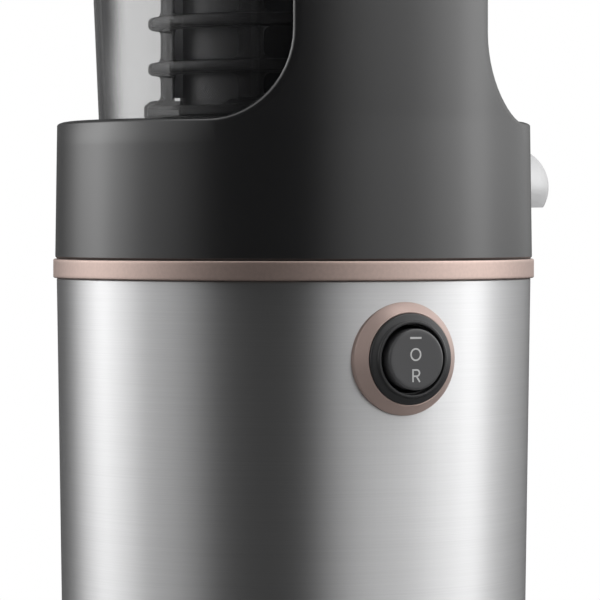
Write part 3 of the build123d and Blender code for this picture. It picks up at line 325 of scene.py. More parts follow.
def brushedSteel():
    # streaks that run round the sleeve: long across and very short upward
    kit = newFinish("brushedSteel", Metallic=1.0, Anisotropic=0.90, Anisotropic_Rotation=0.25)
    fine = kit.noise(1.0, 3.0, (22, 22, 7500), 0.6)
    broad = kit.noise(1.0, 2.0, (5, 5, 900), 0.5)
    streaks = fine * 0.85 + broad * 0.15
    tone = kit.ease(streaks, 0.3, 0.7)
    colour, swing = steelLook["colour"], steelLook["streak"]
    kit.set(Base_Color=kit.mix(tone, tint(colour, 1 - swing), tint(colour, 1 + swing)),
            Roughness=tone * 0.06 + (steelLook["roughness"] - 0.03))
    kit.bump(streaks, steelLook["grain"], 0.00003)
    return kit.material


def roseMetal():
    kit = metal("roseMetal", (0.565, 0.44, 0.395), 0.50)
    kit.bump(kit.noise(2600), 0.05, 0.00003)
    return kit.material


smokeLook = {  # how dense the wall is face on and edge on, outside and inside
    "tint": (0.035, 0.035, 0.037), "outside": (0.17, 0.86), "inside": (0.16, 0.42),
    "start": 0.48, "end": 0.80, "middle": 55.8, "slope": 0.025,
}


def smokeClear():
    # thin in the middle and dense where the wall is seen edge on
    kit = newFinish("smokeClear", Roughness=0.06, IOR=1.38)
    kit.set(Base_Color=kit.mix(kit.noise(30), tint(smokeLook["tint"], 0.9), tint(smokeLook["tint"])))
    facing = kit.node("ShaderNodeLayerWeight", None, {"Blend": 0.5}, "Facing")
    at = kit.place()
    level = kit.node("ShaderNodeVectorMath", {"operation": "MULTIPLY"}, {0: at, 1: (1, 1, 0)})
    radius = kit.node("ShaderNodeVectorMath", {"operation": "LENGTH"}, {0: level}, "Value")
    height = kit.node("ShaderNodeVectorMath", {"operation": "DOT_PRODUCT"}, {0: at, 1: (0, 0, 1)}, 1)
    wall = (smokeLook["middle"] - smokeLook["slope"] * bowlLow[2]) * mm
    outer = kit.ease(radius - height * smokeLook["slope"], wall, wall + 0.5 * mm)
    dense = kit.ease(facing, smokeLook["start"], smokeLook["end"])
    (clearOut, edgeOut), (clearIn, edgeIn) = smokeLook["outside"], smokeLook["inside"]
    outside = dense * (edgeOut - clearOut) + clearOut
    inside = dense * (edgeIn - clearIn) + clearIn
    kit.set(Alpha=outer * outside + (1 - outer) * inside)
    kit.material.surface_render_method = "BLENDED"
    return kit.material


def shadedSmokyCage():
    # dark plastic that lets a little light through, made darker still as painted shade for the inside of the bowl
    kit = plastic("shadedSmokyCage", (0.020, 0.020, 0.021), 0.40, 0.03, IOR=1.56, Alpha=0.62)
    kit.material.surface_render_method = "BLENDED"
    return kit.material


meshLook = {"colour": (0.048, 0.048, 0.049), "around": 230, "rise": 6600.0, "hole": (0.10, 0.45)}


def meshSteel():
    # rows of tiny holes in a thin sheet, counted round the drum and up it; the holes are dark spots on the whole
    # sheet, painted shade for the inside seen through them
    kit = metal("meshSteel", meshLook["colour"], 0.38)
    x, y, z = (kit.node("ShaderNodeSeparateXYZ", None, {0: kit.place()}, axis) for axis in range(3))
    around = x.math("ARCTAN2", y, x) * meshLook["around"]
    hole = kit.ease(around.sine() * (z * meshLook["rise"]).sine(), *meshLook["hole"])
    kit.set(Base_Color=kit.mix(hole, tint(meshLook["colour"]), tint(meshLook["colour"], 0.12)),
            Metallic=1 - hole)
    kit.bump(1 - hole, 0.3, 0.0001)
    return kit.material


def coreSteel():
    # a stack of thin sheets
    kit = metal("coreSteel", (0.36, 0.36, 0.38), 0.45)
    kit.bump(kit.noise(1.0, 1.0, (1, 1, 2400)), 0.5, 0.0001)
    return kit.material


def copperWire():
    kit = newFinish("copperWire", Metallic=1.0, Coat_Weight=0.6)
    strands = kit.noise(1.0, 2.0, (900, 900, 160))
    tone = kit.ease(strands, 0.35, 0.65)
    kit.set(Base_Color=kit.mix(tone, tint((0.33, 0.12, 0.05)), tint((0.78, 0.36, 0.18))),
            Roughness=strands * 0.2 + 0.22)
    kit.bump(strands, 0.6, 0.0003)
    return kit.material


finishes = {
    "brushed_steel": brushedSteel(),
    "rose_metal": roseMetal(),
    "smoke_clear": smokeClear(),
    "mesh_steel": meshSteel(),
    "core_steel": coreSteel(),
    "copper_wire": copperWire(),
    "gloss_black": plastic("glossBlack", (0.008, 0.008, 0.0085), 0.27, 0.006, IOR=1.62).material,
    "satin_silver": plastic("satinSilver", (0.50, 0.50, 0.505), 0.40, 0.02, Metallic=0.15).material,
    "black_plastic": plastic("blackPlastic", (0.030, 0.030, 0.032), 0.42, 0.05, 0.25).material,
    # the cage plastic is dark, and darker still as painted shade for the inside of the bowl
    "cage_plastic": plastic("cagePlasticShaded", (0.020, 0.020, 0.021), 0.40, 0.03).material,
    "shadedSmokyCage": shadedSmokyCage(),
    "auger_plastic": plastic("augerPlastic", (0.045, 0.042, 0.040), 0.30, 0.03).material,
    "rubber_black": plastic("rubberBlack", (0.025, 0.025, 0.025), 0.75, 0.06, 0.4, 1800).material,
    "silicone_black": plastic("siliconeBlack", (0.04, 0.04, 0.04), 0.55, 0.05, 0.2).material,
    "silicone_grey": plastic("siliconeGrey", (0.32, 0.32, 0.33), 0.5, 0.05, 0.2).material,
    "white_nylon": plastic("whiteNylon", (0.74, 0.73, 0.69), 0.42, 0.04).material,
    "board_green": plastic("boardGreen", (0.03, 0.16, 0.07), 0.35, 0.04).material,
    "plain_steel": metal("plainSteel", (0.56, 0.56, 0.57), 0.32).material,
    "bronze": metal("bronze", (0.60, 0.42, 0.22), 0.38).material,
    "cast_aluminium": metal("castAluminium", (0.62, 0.62, 0.63), 0.46, 0.06).material,
    "capacitor_shell": metal("capacitorShell", (0.66, 0.67, 0.69), 0.28).material,
    # two copies of the black plastic for the switch: the rocker's lighter one is painted light, the bezel's darker
    # one is painted shade
    "switchBlackLit": plastic("switchBlackLit", (0.048, 0.048, 0.050), 0.38, 0.04, 0.2).material,
    "bezelBlackShaded": plastic("bezelBlackShaded", (0.016, 0.016, 0.017), 0.40, 0.04, 0.2).material,
    "ringMetal": plastic("ringMetal", (0.47, 0.36, 0.325), 0.50, 0.03, Metallic=0.65).material,
    "markPaint": plastic("markPaint", (0.44, 0.44, 0.44), 0.55).material,
}
for row in frame["record"]["subparts"]:
    slots = nodes[row["node"]].data.materials
    slots.clear()
    slots.append(finishes[row["material_slot"]])
print("finishes:", len(finishes))

caseLook = {"taper": 2.5, "wall": 0.9, "seam": 0.16, "shadeRingDepth": 1.6, "shadeRingWidth": 3.0, "shadeRingGap": 0.02,
            "bandEdge": 0.45, "bandDepth": 4.0}


def caseShell():
    sleeveTop, top = sleeveHigh[2], sleeveHigh[0]
    foot = top - caseLook["taper"]
    bm = bmesh.new()
    spin(bm, rounded([(foot, sleeveLow[2], 0.3), (top, sleeveTop, 0.3), (top - caseLook["wall"], sleeveTop),
                      (foot - caseLook["wall"], sleeveLow[2])]), (0, caseY), 240)
    sleeve = piece("sleeveShell", bm, "brushed_steel", "base", "steel_sleeve")
    low, high, radius = bandLow[2] + caseLook["seam"], bandHigh[2] - caseLook["seam"], bandRadius
    inner, edge = radius - caseLook["bandDepth"], caseLook["bandEdge"]
    bm = bmesh.new()
    spin(bm, rounded([(inner, low), (radius, low, edge), (radius, high, edge), (inner, high)], steps=5),
         (0, caseY), 240)
    piece("roseBand", bm, "rose_metal", "base", "accent_band")
    # a black ring set back behind the seams above and below the band: a dark sheet that paints the shade in the
    # seam gaps
    bm = bmesh.new()
    shadow = radius - caseLook["shadeRingDepth"]
    back, gap = shadow - caseLook["shadeRingWidth"], caseLook["shadeRingGap"]
    spin(bm, [(back, bandLow[2] + gap), (shadow, bandLow[2] + gap), (shadow, bandHigh[2] - gap),
              (back, bandHigh[2] - gap)], (0, caseY), 120)
    piece("seamShadeRing", bm, "rubber_black", "base")
    return sleeve


sleeve = caseShell()
print("case done")

footLook = {"radius": 8.0, "height": 3.0, "skirtEdge": 1.4, "skirtWall": 2.6, "lineHeight": 0.7,
            "lineDepth": 0.5}


def skirtAndFeet():
    low, high = span("base_skirt")
    radius, top = high[0], sleeveLow[2]
    line, step, inner = footLook["lineHeight"], radius - footLook["lineDepth"], radius - footLook["skirtWall"]
    bm = bmesh.new()
    spin(bm, rounded([
        (inner, low[2]), (radius - 1.2, low[2], 0.4), (radius, low[2] + 1.2, footLook["skirtEdge"]),
        (radius, top - line, 0.2), (step, top - line), (step, top), (inner, top)]), (0, caseY), 200)
    piece("skirtRing", bm, "black_plastic", "base", "base_skirt")
    footLow, footHigh = span("rubber_feet")
    reach = (footHigh[0] - footLow[0]) / 2 - footLook["radius"]
    bm = bmesh.new()
    for x in (-reach, reach):
        for y in (-reach, reach):
            spin(bm, rounded([
                (0, 0.6), (3.2, 0.6, 0.4), (4.2, 0, 0.3), (footLook["radius"] - 0.2, 0, 0.8),
                (footLook["radius"], footLook["height"], 0.2), (2.6, footLook["height"]),
                (2.6, footHigh[2], 0.5), (0, footHigh[2])], closed=False), (x, caseY + y), 48, closed=False)
    piece("rubberFeet", bm, "rubber_black", "base", "rubber_feet")


skirtAndFeet()

glandLook = {"height": 32.0, "bore": 3.6, "flange": 9.0, "sleeve": 6.0, "neck": 7.0, "proud": 12.3, "ribs": 4}


def cordGland():
    low, high = span("cord_gland")
    start, end = low[1], high[1]
    face, neck = end - glandLook["proud"], glandLook["neck"]
    outline = [(glandLook["bore"], start, 0.2), (neck, start, 0.6), (neck, face + 0.3),
               (glandLook["flange"], face + 0.3),
               (glandLook["flange"], face + 3, 1.1), (glandLook["sleeve"] + 0.6, face + 3, 0.4)]
    pitch = (end - face - 4) / glandLook["ribs"]
    for k in range(glandLook["ribs"]):
        up = face + 3.2 + k * pitch
        outline += [(glandLook["sleeve"] - 0.7, up + 0.35, 0.2), (glandLook["sleeve"] - 0.7, up + 0.9, 0.2),
                    (glandLook["sleeve"], up + 1.1, 0.2), (glandLook["sleeve"], up + pitch, 0.2)]
    outline += [(glandLook["sleeve"] - 0.3, end, 0.3), (glandLook["bore"], end, 0.3)]
    bm = bmesh.new()
    spin(bm, rounded(outline, steps=2), segments=64)
    lie = Matrix.Translation((0, 0, glandLook["height"])) @ Matrix.Rotation(radians(-90), 4, "X")
    piece("cordGland", bm, "rubber_black", "base", "cord_gland", lie)


cordGland()
print("foot of the case done")

# Collar and tower are one skin, and the tower's edges sweep into the rim.
housingLook = {
    "halfAngle": 26.65, "cove": 26.4, "corner": 5.0, "edge": 1.3, "innerEdge": 0.8, "wall": 2.2,
    "rimEdge": 4.2, "taper": 0.6, "collar": 43.0, "clearance": 1.2, "columns": 36, "ledgeColumns": 110,
}


def upperHousing():
    look = housingLook
    topRadius = housingHigh[0] - look["taper"]
    foot, top = housingLow[2], housingHigh[2]
    rim = foot + look["collar"]
    bore = bowlHigh[0] + look["clearance"]
    halfWidth = radians(look["halfAngle"]) * topRadius
    cove, corner, edge, innerEdge = look["cove"], look["corner"], look["edge"], look["innerEdge"]
    columns, ledge = look["columns"], look["ledgeColumns"]
    bm = bmesh.new()

    def outside(around, z, depth):
        return topRadius - depth + max(0, rim - z) / look["collar"] * look["taper"]

    def inside(around, z, depth):
        # the tower's inner face is round the bowl's axis, not the case's
        along = caseY * sin(backAngle + around / topRadius)
        return sqrt(along * along - caseY * caseY + bore * bore) - along + depth

    def put(around, z, radiusOf, depth=0):
        angle = backAngle + around / topRadius
        radius = radiusOf(around, z, depth)
        return bm.verts.new((radius * cos(angle), caseY + radius * sin(angle), z))

    def side(inset):
        # the tower's edge from the rim upward: cove, straight, corner
        points = []
        for i in range(15):
            a = pi / 2 * i / 14
            reach = cove + inset
            points.append((halfWidth + cove - reach * sin(a), rim + cove - reach * cos(a)))
        for i in range(1, 12):
            points.append((halfWidth - inset, rim + cove + (top - corner - rim - cove) * i / 12))
        for i in range(6):
            a = pi / 2 * i / 5
            reach = corner - inset
            points.append((halfWidth - corner + reach * cos(a), top - corner + reach * sin(a)))
        return points

    def edgeLoop(inset, radiusOf, depth, rimDepth):
        # the rim is rounded more than the tower, and the cove blends the two
        right = side(inset)
        width, start = right[-1][0], right[0][0]
        length = 2 * pi * topRadius - 2 * start
        blend = [max(0, 1 - i / 12) for i in range(len(right))]
        depths = [depth + (rimDepth - depth) * share * share * (3 - 2 * share) for share in blend]
        loop = {
            "right": [put(s, z, radiusOf, d) for (s, z), d in zip(right, depths)],
            "crown": [put(width - 2 * width * i / columns, top - inset, radiusOf, depth)
                      for i in range(1, columns)],
            "left": [put(-s, z, radiusOf, d) for (s, z), d in zip(reversed(right), reversed(depths))],
            "rest": [put(-start - length * i / ledge, rim - inset, radiusOf, rimDepth)
                     for i in range(1, ledge)],
        }
        loop["all"] = loop["right"] + loop["crown"] + loop["left"] + loop["rest"]
        return loop

    def skin(loop, inset, radiusOf):
        # fills the tower's face between its two edges, and gives the full ring at the rim
        right = side(inset)
        rows = []
        for i, (s, z) in enumerate(right[:-1]):
            inner = [put(-s + 2 * s * k / columns, z, radiusOf) for k in range(1, columns)]
            rows.append([loop["left"][-1 - i]] + inner + [loop["right"][i]])
        rows.append([loop["left"][0]] + loop["crown"][::-1] + [loop["right"][-1]])
        for lower, upper in zip(rows, rows[1:]):
            bridge(bm, lower, upper, closed=False)
        start = right[0][0]
        length = 2 * pi * topRadius - 2 * start
        around = [-start + 2 * start * k / columns for k in range(columns + 1)]
        around += [start + length * i / ledge for i in range(1, ledge)]
        return rows[0] + loop["rest"][::-1], around

    loops = []
    for i in range(6):
        a = pi / 2 * i / 5
        drop = 1 - cos(a)
        loops.append(edgeLoop(edge * (1 - sin(a)), outside, edge * drop, look["rimEdge"] * drop))
    for i in range(4):
        a = pi / 2 * i / 3
        depth = innerEdge * (1 - sin(a))
        loops.append(edgeLoop(innerEdge * (1 - cos(a)), inside, depth, depth))
    for first, second in zip(loops, loops[1:]):
        bridge(bm, first["all"], second["all"])
    outerRing, around = skin(loops[0], edge, outside)
    innerRing, _ = skin(loops[-1], innerEdge, inside)

    def ringAt(z, radiusOf, depth=0):
        return [put(s, z, radiusOf, depth) for s in around]

    wall = look["wall"]
    rings = [outerRing] + [ringAt(z, outside) for z in (rim - 8, rim - 18, rim - 30, foot + 6, foot + 0.6)]
    rings += [ringAt(foot, outside, 0.5), ringAt(foot, outside, wall), ringAt(rim - wall, outside, wall)]
    rings += [ringAt(rim - wall, inside), innerRing]
    for first, second in zip(rings, rings[1:]):
        bridge(bm, first, second)
    return piece("housingShell", bm, "gloss_black", "base", "upper_housing", sharp=40)


tubeLook = {"pulpLevel": 208.0, "pulpWay": 12.6, "juiceLevel": 203.0, "juiceWay": 8.8, "start": 46, "end": 90}


def wayCutter(radius, level):
    # a tunnel toward -Y with an open top, in which an outlet tube lifts out
    outline = [(radius * cos(a), level + radius * sin(a)) for a in [pi + pi * k / 24 for k in range(25)]]
    outline += [(radius, level + 60), (-radius, level + 60)]
    bm = bmesh.new()
    loft(bm, [[(p[0], -reach, p[1]) for p in outline] for reach in (tubeLook["start"], tubeLook["end"])])
    return bm


toLeft = Matrix.Rotation(radians(-90), 4, "Z")
housing = upperHousing()
carve(housing, wayCutter(tubeLook["pulpWay"], tubeLook["pulpLevel"]), toLeft, 40)
carve(housing, wayCutter(tubeLook["juiceWay"], tubeLook["juiceLevel"]), None, 40)
print("housing done")

switchLook = {
    "ring": 17.05, "rise": 3.5, "bezel": 13.7, "bezelRise": 4.3, "lip": 5.6, "ledge": 2.8, "step": 0.35,
    "bore": 10.6, "barrel": 12.6, "barrelReach": 20.0, "face": 9.2, "faceRise": 7.8, "markWidth": 0.48,
    "markRise": 0.05, "markShift": -0.35,
}
switchHeight = (bezelLow[2] + bezelHigh[2]) / 2
sleeveShare = (sleeveHigh[2] - switchHeight) / (sleeveHigh[2] - sleeveLow[2])
outward = Vector((cos(backAngle), sin(backAngle), 0))
switchSeat = Vector((0, caseY, switchHeight)) + outward * (sleeveHigh[0] - caseLook["taper"] * sleeveShare)
switchPlace = Matrix.Translation(switchSeat) @ Matrix((
    (-outward.y, 0, outward.x, 0), (outward.x, 0, outward.y, 0), (0, 1, 0, 0), (0, 0, 0, 1)))


def stroke(bm, points, width, low, high, closed=False):
    # a flat raised line through points
    rings = []
    count = len(points)
    for i in range(count):
        before = Vector(points[i - 1] if closed or i else points[0])
        after = Vector(points[(i + 1) % count] if closed or i < count - 1 else points[-1])
        along = (after - before).normalized()
        across = Vector((-along.y, along.x)) * width / 2
        here = Vector(points[i])
        a, b = here - across, here + across
        rings.append([(*a, low), (*b, low), (*b, high), (*a, high)])
    loft(bm, rings, loop=closed)


def switch():
    look = switchLook
    ring, rise, bezel, bore, lip = look["ring"], look["rise"], look["bezel"], look["bore"], look["lip"]
    throat = bore - look["step"]
    bm = bmesh.new()
    spin(bm, rounded([(bezel - 0.2, -2.5), (ring, -2.5), (ring, 0.25, 0.35), (bezel + 0.45, rise, 0.35),
                      (bezel + 0.1, rise - 0.1), (bezel - 0.2, rise - 1.2)]), segments=120)
    piece("switchRing", bm, "rose_metal", "base", "switch_ring", switchPlace, finish="ringMetal")
    bm = bmesh.new()
    spin(bm, rounded([(throat, -14), (bezel - 1.3, -14), (bezel - 1.3, 1.8), (bezel, rise - 0.6),
                      (bezel, look["bezelRise"], 0.6), (bore + 1.25, lip - 0.75, 0.4),
                      (bore + 0.9, lip, 0.35), (bore, lip, 0.3), (bore, look["ledge"]),
                      (throat, look["ledge"])]), segments=120)
    piece("switchBezel", bm, "black_plastic", "base", "switch_bezel", switchPlace, finish="bezelBlackShaded")
    face, faceRise = look["face"], look["faceRise"]
    bm = bmesh.new()
    spin(bm, rounded([(0, -6.5), (face - 2.4, -6.5, 0.8), (face - 0.1, -2.0, 1), (face, faceRise, 0.75),
                      (0, faceRise)], closed=False, steps=5), segments=120, closed=False)
    piece("rockerFace", bm, "black_plastic", "rocker", "rocker_button", switchPlace, finish="switchBlackLit")
    low, high, width = faceRise - 0.1, faceRise + look["markRise"], look["markWidth"]
    bm = bmesh.new()
    shift = look["markShift"]
    stroke(bm, [(1.9, 6.45), (-1.9, 6.45)], width + 0.1, low, high)
    circle = [2 * pi * k / 40 for k in range(40)]
    stroke(bm, [(1.62 * cos(a), 1.5 + 1.7 * sin(a)) for a in circle], width, low, high, closed=True)
    bend = [pi / 2 - pi * k / 12 for k in range(13)]
    stroke(bm, [(-0.95, -6.7), (-0.95, -2.85)], width, low, high)
    bow = [(0.3 + 0.93 * cos(a), -4.03 + 0.93 * sin(a)) for a in bend]
    stroke(bm, [(-0.95, -3.1)] + bow + [(-0.95, -4.96)], width, low, high)
    stroke(bm, [(0.2, -4.96), (1.35, -6.7)], width, low, high)
    bm.transform(Matrix.Translation((shift, 0, 0)))
    piece("switchMarks", bm, "satin_silver", "rocker", None, switchPlace, 20, "markPaint")


switch()
barrel, reach = switchLook["barrel"], switchLook["barrelReach"]
bm = bmesh.new()
spin(bm, [(0, -reach), (barrel, -reach), (barrel, reach), (0, reach)], segments=96, closed=False)
carve(sleeve, bm, switchPlace)
print("switch done")

cageLook = {
    "flange": 44.6, "flangeTop": 234.5, "flangeTall": 5.0, "flangeStep": 2.9, "wall": 39.7, "bore": 36.5,
    "ring": 43.3, "ringHeight": 3.7, "pitch": 14.3, "firstRing": 242.9, "rings": 5, "fillet": 1.6,
    "edge": 1.25, "windows": 6, "windowWidth": 32.57, "windowHeight": 10.0, "windowCorner": 2.6,
    "cut": (26, 50), "teeth": 56, "toothRoot": 36.44, "toothTip": 33.87, "gearWall": 3.2, "gearLap": 0.05,
}


def brushCage():
    look = cageLook
    low, high = span("brush_cage")
    flangeFoot = look["flangeTop"] - look["flangeTall"]
    fillet, edge, wall = look["fillet"], look["edge"], look["wall"]
    outline = [(look["bore"] - look["flangeStep"], flangeFoot), (look["flange"], flangeFoot, 0.4),
               (look["flange"], look["flangeTop"] - 1.4, 0.8), (look["flange"] - 1.8, look["flangeTop"], 0.8),
               (wall, look["flangeTop"], fillet)]
    for k in range(look["rings"]):
        foot = look["firstRing"] + k * look["pitch"]
        crest = foot + look["ringHeight"]
        outline += [(wall, foot, fillet), (look["ring"], foot, edge), (look["ring"], crest, edge),
                    (wall, crest, fillet)]
    outline += [(wall, high[2], 0.5), (look["bore"], high[2], 0.5), (look["bore"], look["flangeTop"]),
                (look["bore"] - look["flangeStep"], look["flangeTop"])]
    bm = bmesh.new()
    spin(bm, rounded(outline), segments=216)
    cage = piece("cageShell", bm, "cage_plastic", "cage", "brush_cage", finish="shadedSmokyCage")
    cutters = bmesh.new()
    halfTall, halfWide = look["windowHeight"] / 2, look["windowWidth"] / 2
    for k in range(look["rings"]):
        middle = look["firstRing"] + k * look["pitch"] - (look["pitch"] - look["ringHeight"]) / 2
        for side in range(look["windows"]):
            turn = Matrix.Rotation(2 * pi * side / look["windows"], 3, "Z")
            corner = look["windowCorner"]
            outline = rounded([(-halfWide, middle - halfTall, corner), (halfWide, middle - halfTall, corner),
                               (halfWide, middle + halfTall, corner), (-halfWide, middle + halfTall, corner)])
            loft(cutters, [[turn @ Vector((reach, p[0], p[1])) for p in outline] for reach in look["cut"]])
    carve(cage, cutters, None, 35)
    bm = bmesh.new()
    inner, count = [], look["teeth"]
    tooth = ((0.0, "toothTip"), (0.28, "toothTip"), (0.42, "toothRoot"), (0.86, "toothRoot"))
    for k in range(count):
        for share, radius in tooth:
            inner.append((look[radius], 2 * pi * (k + share) / count))
    levels = (low[2], flangeFoot + look["gearLap"])
    rings = [[(r * cos(a), r * sin(a), z) for r, a in inner] for z in levels]
    rim = look["toothRoot"] + look["gearWall"]
    rings += [[(rim * cos(a), rim * sin(a), z) for r, a in inner] for z in reversed(levels)]
    loft(bm, rings, loop=True)
    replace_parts(piece("cageGear", bm, "cage_plastic", "cage", sharp=25, finish="shadedSmokyCage"), "brush_cage")


brushCage()

screenLook = {"gap": 0.02, "thickness": 0.2, "hem": 0.6}


def screen():
    # a fine sheet round the outside of the strainer drum
    drumHigh = span("strainer_drum")[1]
    low, high = span("strainer_mesh")
    inner = drumHigh[0] + screenLook["gap"]
    outer = inner + screenLook["thickness"]
    bm = bmesh.new()
    spin(bm, [(inner, low[2]), (outer, low[2]), (outer, high[2] - screenLook["hem"]),
              (inner, high[2] - screenLook["hem"])], segments=180)
    piece("drumScreen", bm, "mesh_steel", "bowl", "strainer_mesh")


screen()
print("cage and screen done")

nozzleLook = {"wall": 1.25, "pulpRadius": 13.4, "pulpNose": 106.4, "pulpMouth": 201.2, "juiceRadius": 10.0,
              "juiceNose": 84.0, "juiceMouth": 194.0, "lip": 0.55, "cut": 40}
capLook = {"pivotY": 97.1, "pivotZ": 205.0, "knuckle": 2.6, "earInside": 3.9, "earWidth": 2.0,
           "earStart": 91.0, "armHalf": 3.5, "armBack": 94.5, "top": 193.6, "thickness": 2.6, "edge": 0.6}


def spout(name, slot, node, radius, flangeAt, nose, level, mouth, mouthStart, place, gap, ears=None):
    # lies along -Y: a flange, a tube and a round nose that opens downward
    outline = [(radius - gap, flangeAt), (radius + 1.5, flangeAt, 0.5), (radius + 1.5, flangeAt + 2, 0.6),
               (radius, flangeAt + 2, 0.6), (radius, nose)]
    outline = [tuple(p) for p in rounded(outline, closed=False)]
    outline += [(radius * cos(a), nose + radius * sin(a)) for a in [pi / 2 * k / 20 for k in range(1, 21)]]
    bore = radius - nozzleLook["wall"]
    outline += [(bore * sin(a), nose + bore * cos(a)) for a in [pi / 2 * k / 20 for k in range(21)]]
    outline.append((bore, flangeAt))
    bm = bmesh.new()
    spin(bm, outline, segments=96)
    lie = place @ Matrix.Translation((0, 0, level)) @ Matrix.Rotation(radians(90), 4, "X")
    made = piece(name, bm, slot, "bowl", node, lie)
    bm = bmesh.new()
    cut = nozzleLook["cut"]
    box(bm, (-cut, -nose - cut, mouth - cut), (cut, -mouthStart, mouth))
    carve(made, bm, place)
    if ears:
        carve(made, ears, place, operation="UNION")
    soften(made, nozzleLook["lip"], 2)


def knuckle(centreY, centreZ, first, last, count=12):
    turns = [radians(first + (last - first) * k / count) for k in range(count + 1)]
    return [(centreY + capLook["knuckle"] * cos(a), centreZ + capLook["knuckle"] * sin(a)) for a in turns]


def nozzles():
    look = nozzleLook
    spout("pulpSpout", "satin_silver", "pulp_nozzle", look["pulpRadius"], bandRadius + 1, look["pulpNose"],
          tubeLook["pulpLevel"], look["pulpMouth"], bandRadius + 10, toLeft, 1.4)
    pivotY, pivotZ, reach = -capLook["pivotY"], capLook["pivotZ"], capLook["knuckle"]
    ears = bmesh.new()
    outline = [(-capLook["earStart"], pivotZ - reach)] + knuckle(pivotY, pivotZ, -90, -270)
    outline.append((-capLook["earStart"], pivotZ + reach))
    inside, outside = capLook["earInside"], capLook["earInside"] + capLook["earWidth"]
    for near, far in ((inside, outside), (-outside, -inside)):
        loft(ears, [[(x, p[0], p[1]) for p in outline] for x in (near, far)])
    spout("juiceSpout", "satin_silver", "juice_nozzle", look["juiceRadius"], bandRadius - 3,
          look["juiceNose"], tubeLook["juiceLevel"], look["juiceMouth"], bandRadius - 2.8,
          Matrix.Identity(4), 1.4, ears)


def dripCap():
    look = capLook
    foot, front = look["top"] - look["thickness"], -look["pivotY"] - look["knuckle"]
    bm = bmesh.new()
    radius = nozzleLook["juiceRadius"]
    spin(bm, [(0, foot), (radius, foot), (radius, look["top"]), (0, look["top"])],
         (0, -nozzleLook["juiceNose"]), 72, closed=False)
    cap = piece("dripCapShell", bm, "satin_silver", "drip_cap", "drip_cap")
    corners = [(-nozzleLook["juiceNose"], foot), (front, foot, 2.4), (front, look["pivotZ"])]
    outline = [tuple(p) for p in rounded(corners, closed=False)]
    outline += knuckle(-look["pivotY"], look["pivotZ"], 180, 0)[1:]
    corners = [(-look["armBack"], look["pivotZ"]), (-look["armBack"], look["top"], 1.2),
               (-nozzleLook["juiceNose"], look["top"])]
    outline += [tuple(p) for p in rounded(corners, closed=False)][1:]
    arm = bmesh.new()
    loft(arm, [[(x, p[0], p[1]) for p in outline] for x in (-look["armHalf"], look["armHalf"])])
    carve(cap, arm, operation="UNION")
    soften(cap, look["edge"], 3)


nozzles()
dripCap()
print("nozzles done")

topLook = {"chuteY": 18.5, "chuteTall": 84.0, "straight": 9.0, "chute": 12.4, "traySocket": 14.8,
           "trayFoot": 8.0, "trayMouth": 31.0, "trayStraight": 18.0, "trayWall": 2.2, "trayLip": 1.2,
           "fillet": 4.0, "filletLap": 0.3}


def trayAndPusher():
    at = (0, topLook["chuteY"])
    lidHigh = span("lid")[1]
    trayLow, trayHigh = span("feed_tray")
    pusherLow, pusherHigh = span("pusher")
    chuteTop = lidHigh[2]
    lidTop = chuteTop - topLook["chuteTall"]
    flare, socket, mouth = trayLow[2] + topLook["trayFoot"], topLook["traySocket"], topLook["trayMouth"]
    lip, lap = topLook["trayLip"], topLook["filletLap"]
    straight, wide, wall = topLook["straight"], topLook["trayStraight"], topLook["trayWall"]
    outside, inside = [], []
    for i in range(13):
        t = i / 12
        eased = t + 0.10 * sin(2 * pi * t) / 2
        z = flare + (trayHigh[2] - lip - flare) * t
        outside.append((socket + (mouth - socket) * eased, z, straight + (wide - straight) * eased))
        inner = flare + wall + (trayHigh[2] - lip - flare - wall) * t
        inside.append((socket - wall + (mouth - socket) * eased, inner, straight + (wide - straight) * eased))
    bm = bmesh.new()
    rim = [(mouth - wall / 2 + wall / 2 * cos(a), trayHigh[2] - lip + lip * sin(a), wide)
           for a in [pi * k / 8 for k in range(1, 8)]]
    foot = [(socket - wall, trayLow[2], straight), (socket - 0.5, trayLow[2], straight),
            (socket, trayLow[2] + 0.6, straight)]
    slotSpin(bm, foot + outside + rim + inside[::-1], at, straight)
    piece("feedTray", bm, "gloss_black", "lid", "feed_tray")
    bm = bmesh.new()
    fillet = topLook["fillet"]
    chute = topLook["chute"]
    outline = [(chute - lap, lidTop - lap)]
    for k in range(9):
        a = pi / 2 * k / 8
        outline.append((chute + fillet - fillet * sin(a) + 0.02, lidTop + fillet - fillet * cos(a)))
    outline.append((chute - lap, lidTop + fillet))
    slotSpin(bm, outline, at, straight)
    piece("chuteFillet", bm, "gloss_black", "lid")
    head = pusherHigh[2]
    bm = bmesh.new()
    slotSpin(bm, [tuple(p) for p in rounded([
        (0.5, pusherLow[2]), (9.4, pusherLow[2], 1.6), (9.4, chuteTop - 1.5, 0.3),
        (9.0, chuteTop - 0.02, 0.2), (14.9, chuteTop + 0.02, 0.6), (14.9, chuteTop + 4, 1.4),
        (11.2, chuteTop + 4, 1.6), (10.3, chuteTop + 13, 9), (11.2, head, 3.4),
        (0.5, head)], closed=False, steps=6)], at, straight, loop=False)
    piece("pusherBody", bm, "black_plastic", "pusher", "pusher")


trayAndPusher()
print("tray and pusher done")

viewLook = {"side": 45.0, "distance": 1.25, "height": 0.198, "focal": 3946.0, "pixels": 600,
            "horizonRow": 217.0, "axisColumn": 293.6}
stand = Vector((cos(radians(viewLook["side"])), sin(radians(viewLook["side"])), 0))


def camera():
    data = bpy.data.cameras.new("camera")
    pixels = viewLook["pixels"]
    data.sensor_width = 36
    data.lens = viewLook["focal"] / pixels * 36
    data.shift_x = (pixels / 2 - viewLook["axisColumn"]) / pixels
    data.shift_y = (viewLook["horizonRow"] - pixels / 2) / pixels
    data.clip_start, data.clip_end = 0.05, 20
    made = bpy.data.objects.new("camera", data)
    bpy.context.scene.collection.objects.link(made)
    made.location = Vector((0, caseY * mm, viewLook["height"])) + stand * viewLook["distance"]
    made.rotation_euler = (-stand).to_track_quat("-Z", "Y").to_euler()
    bpy.context.scene.camera = made


camera()

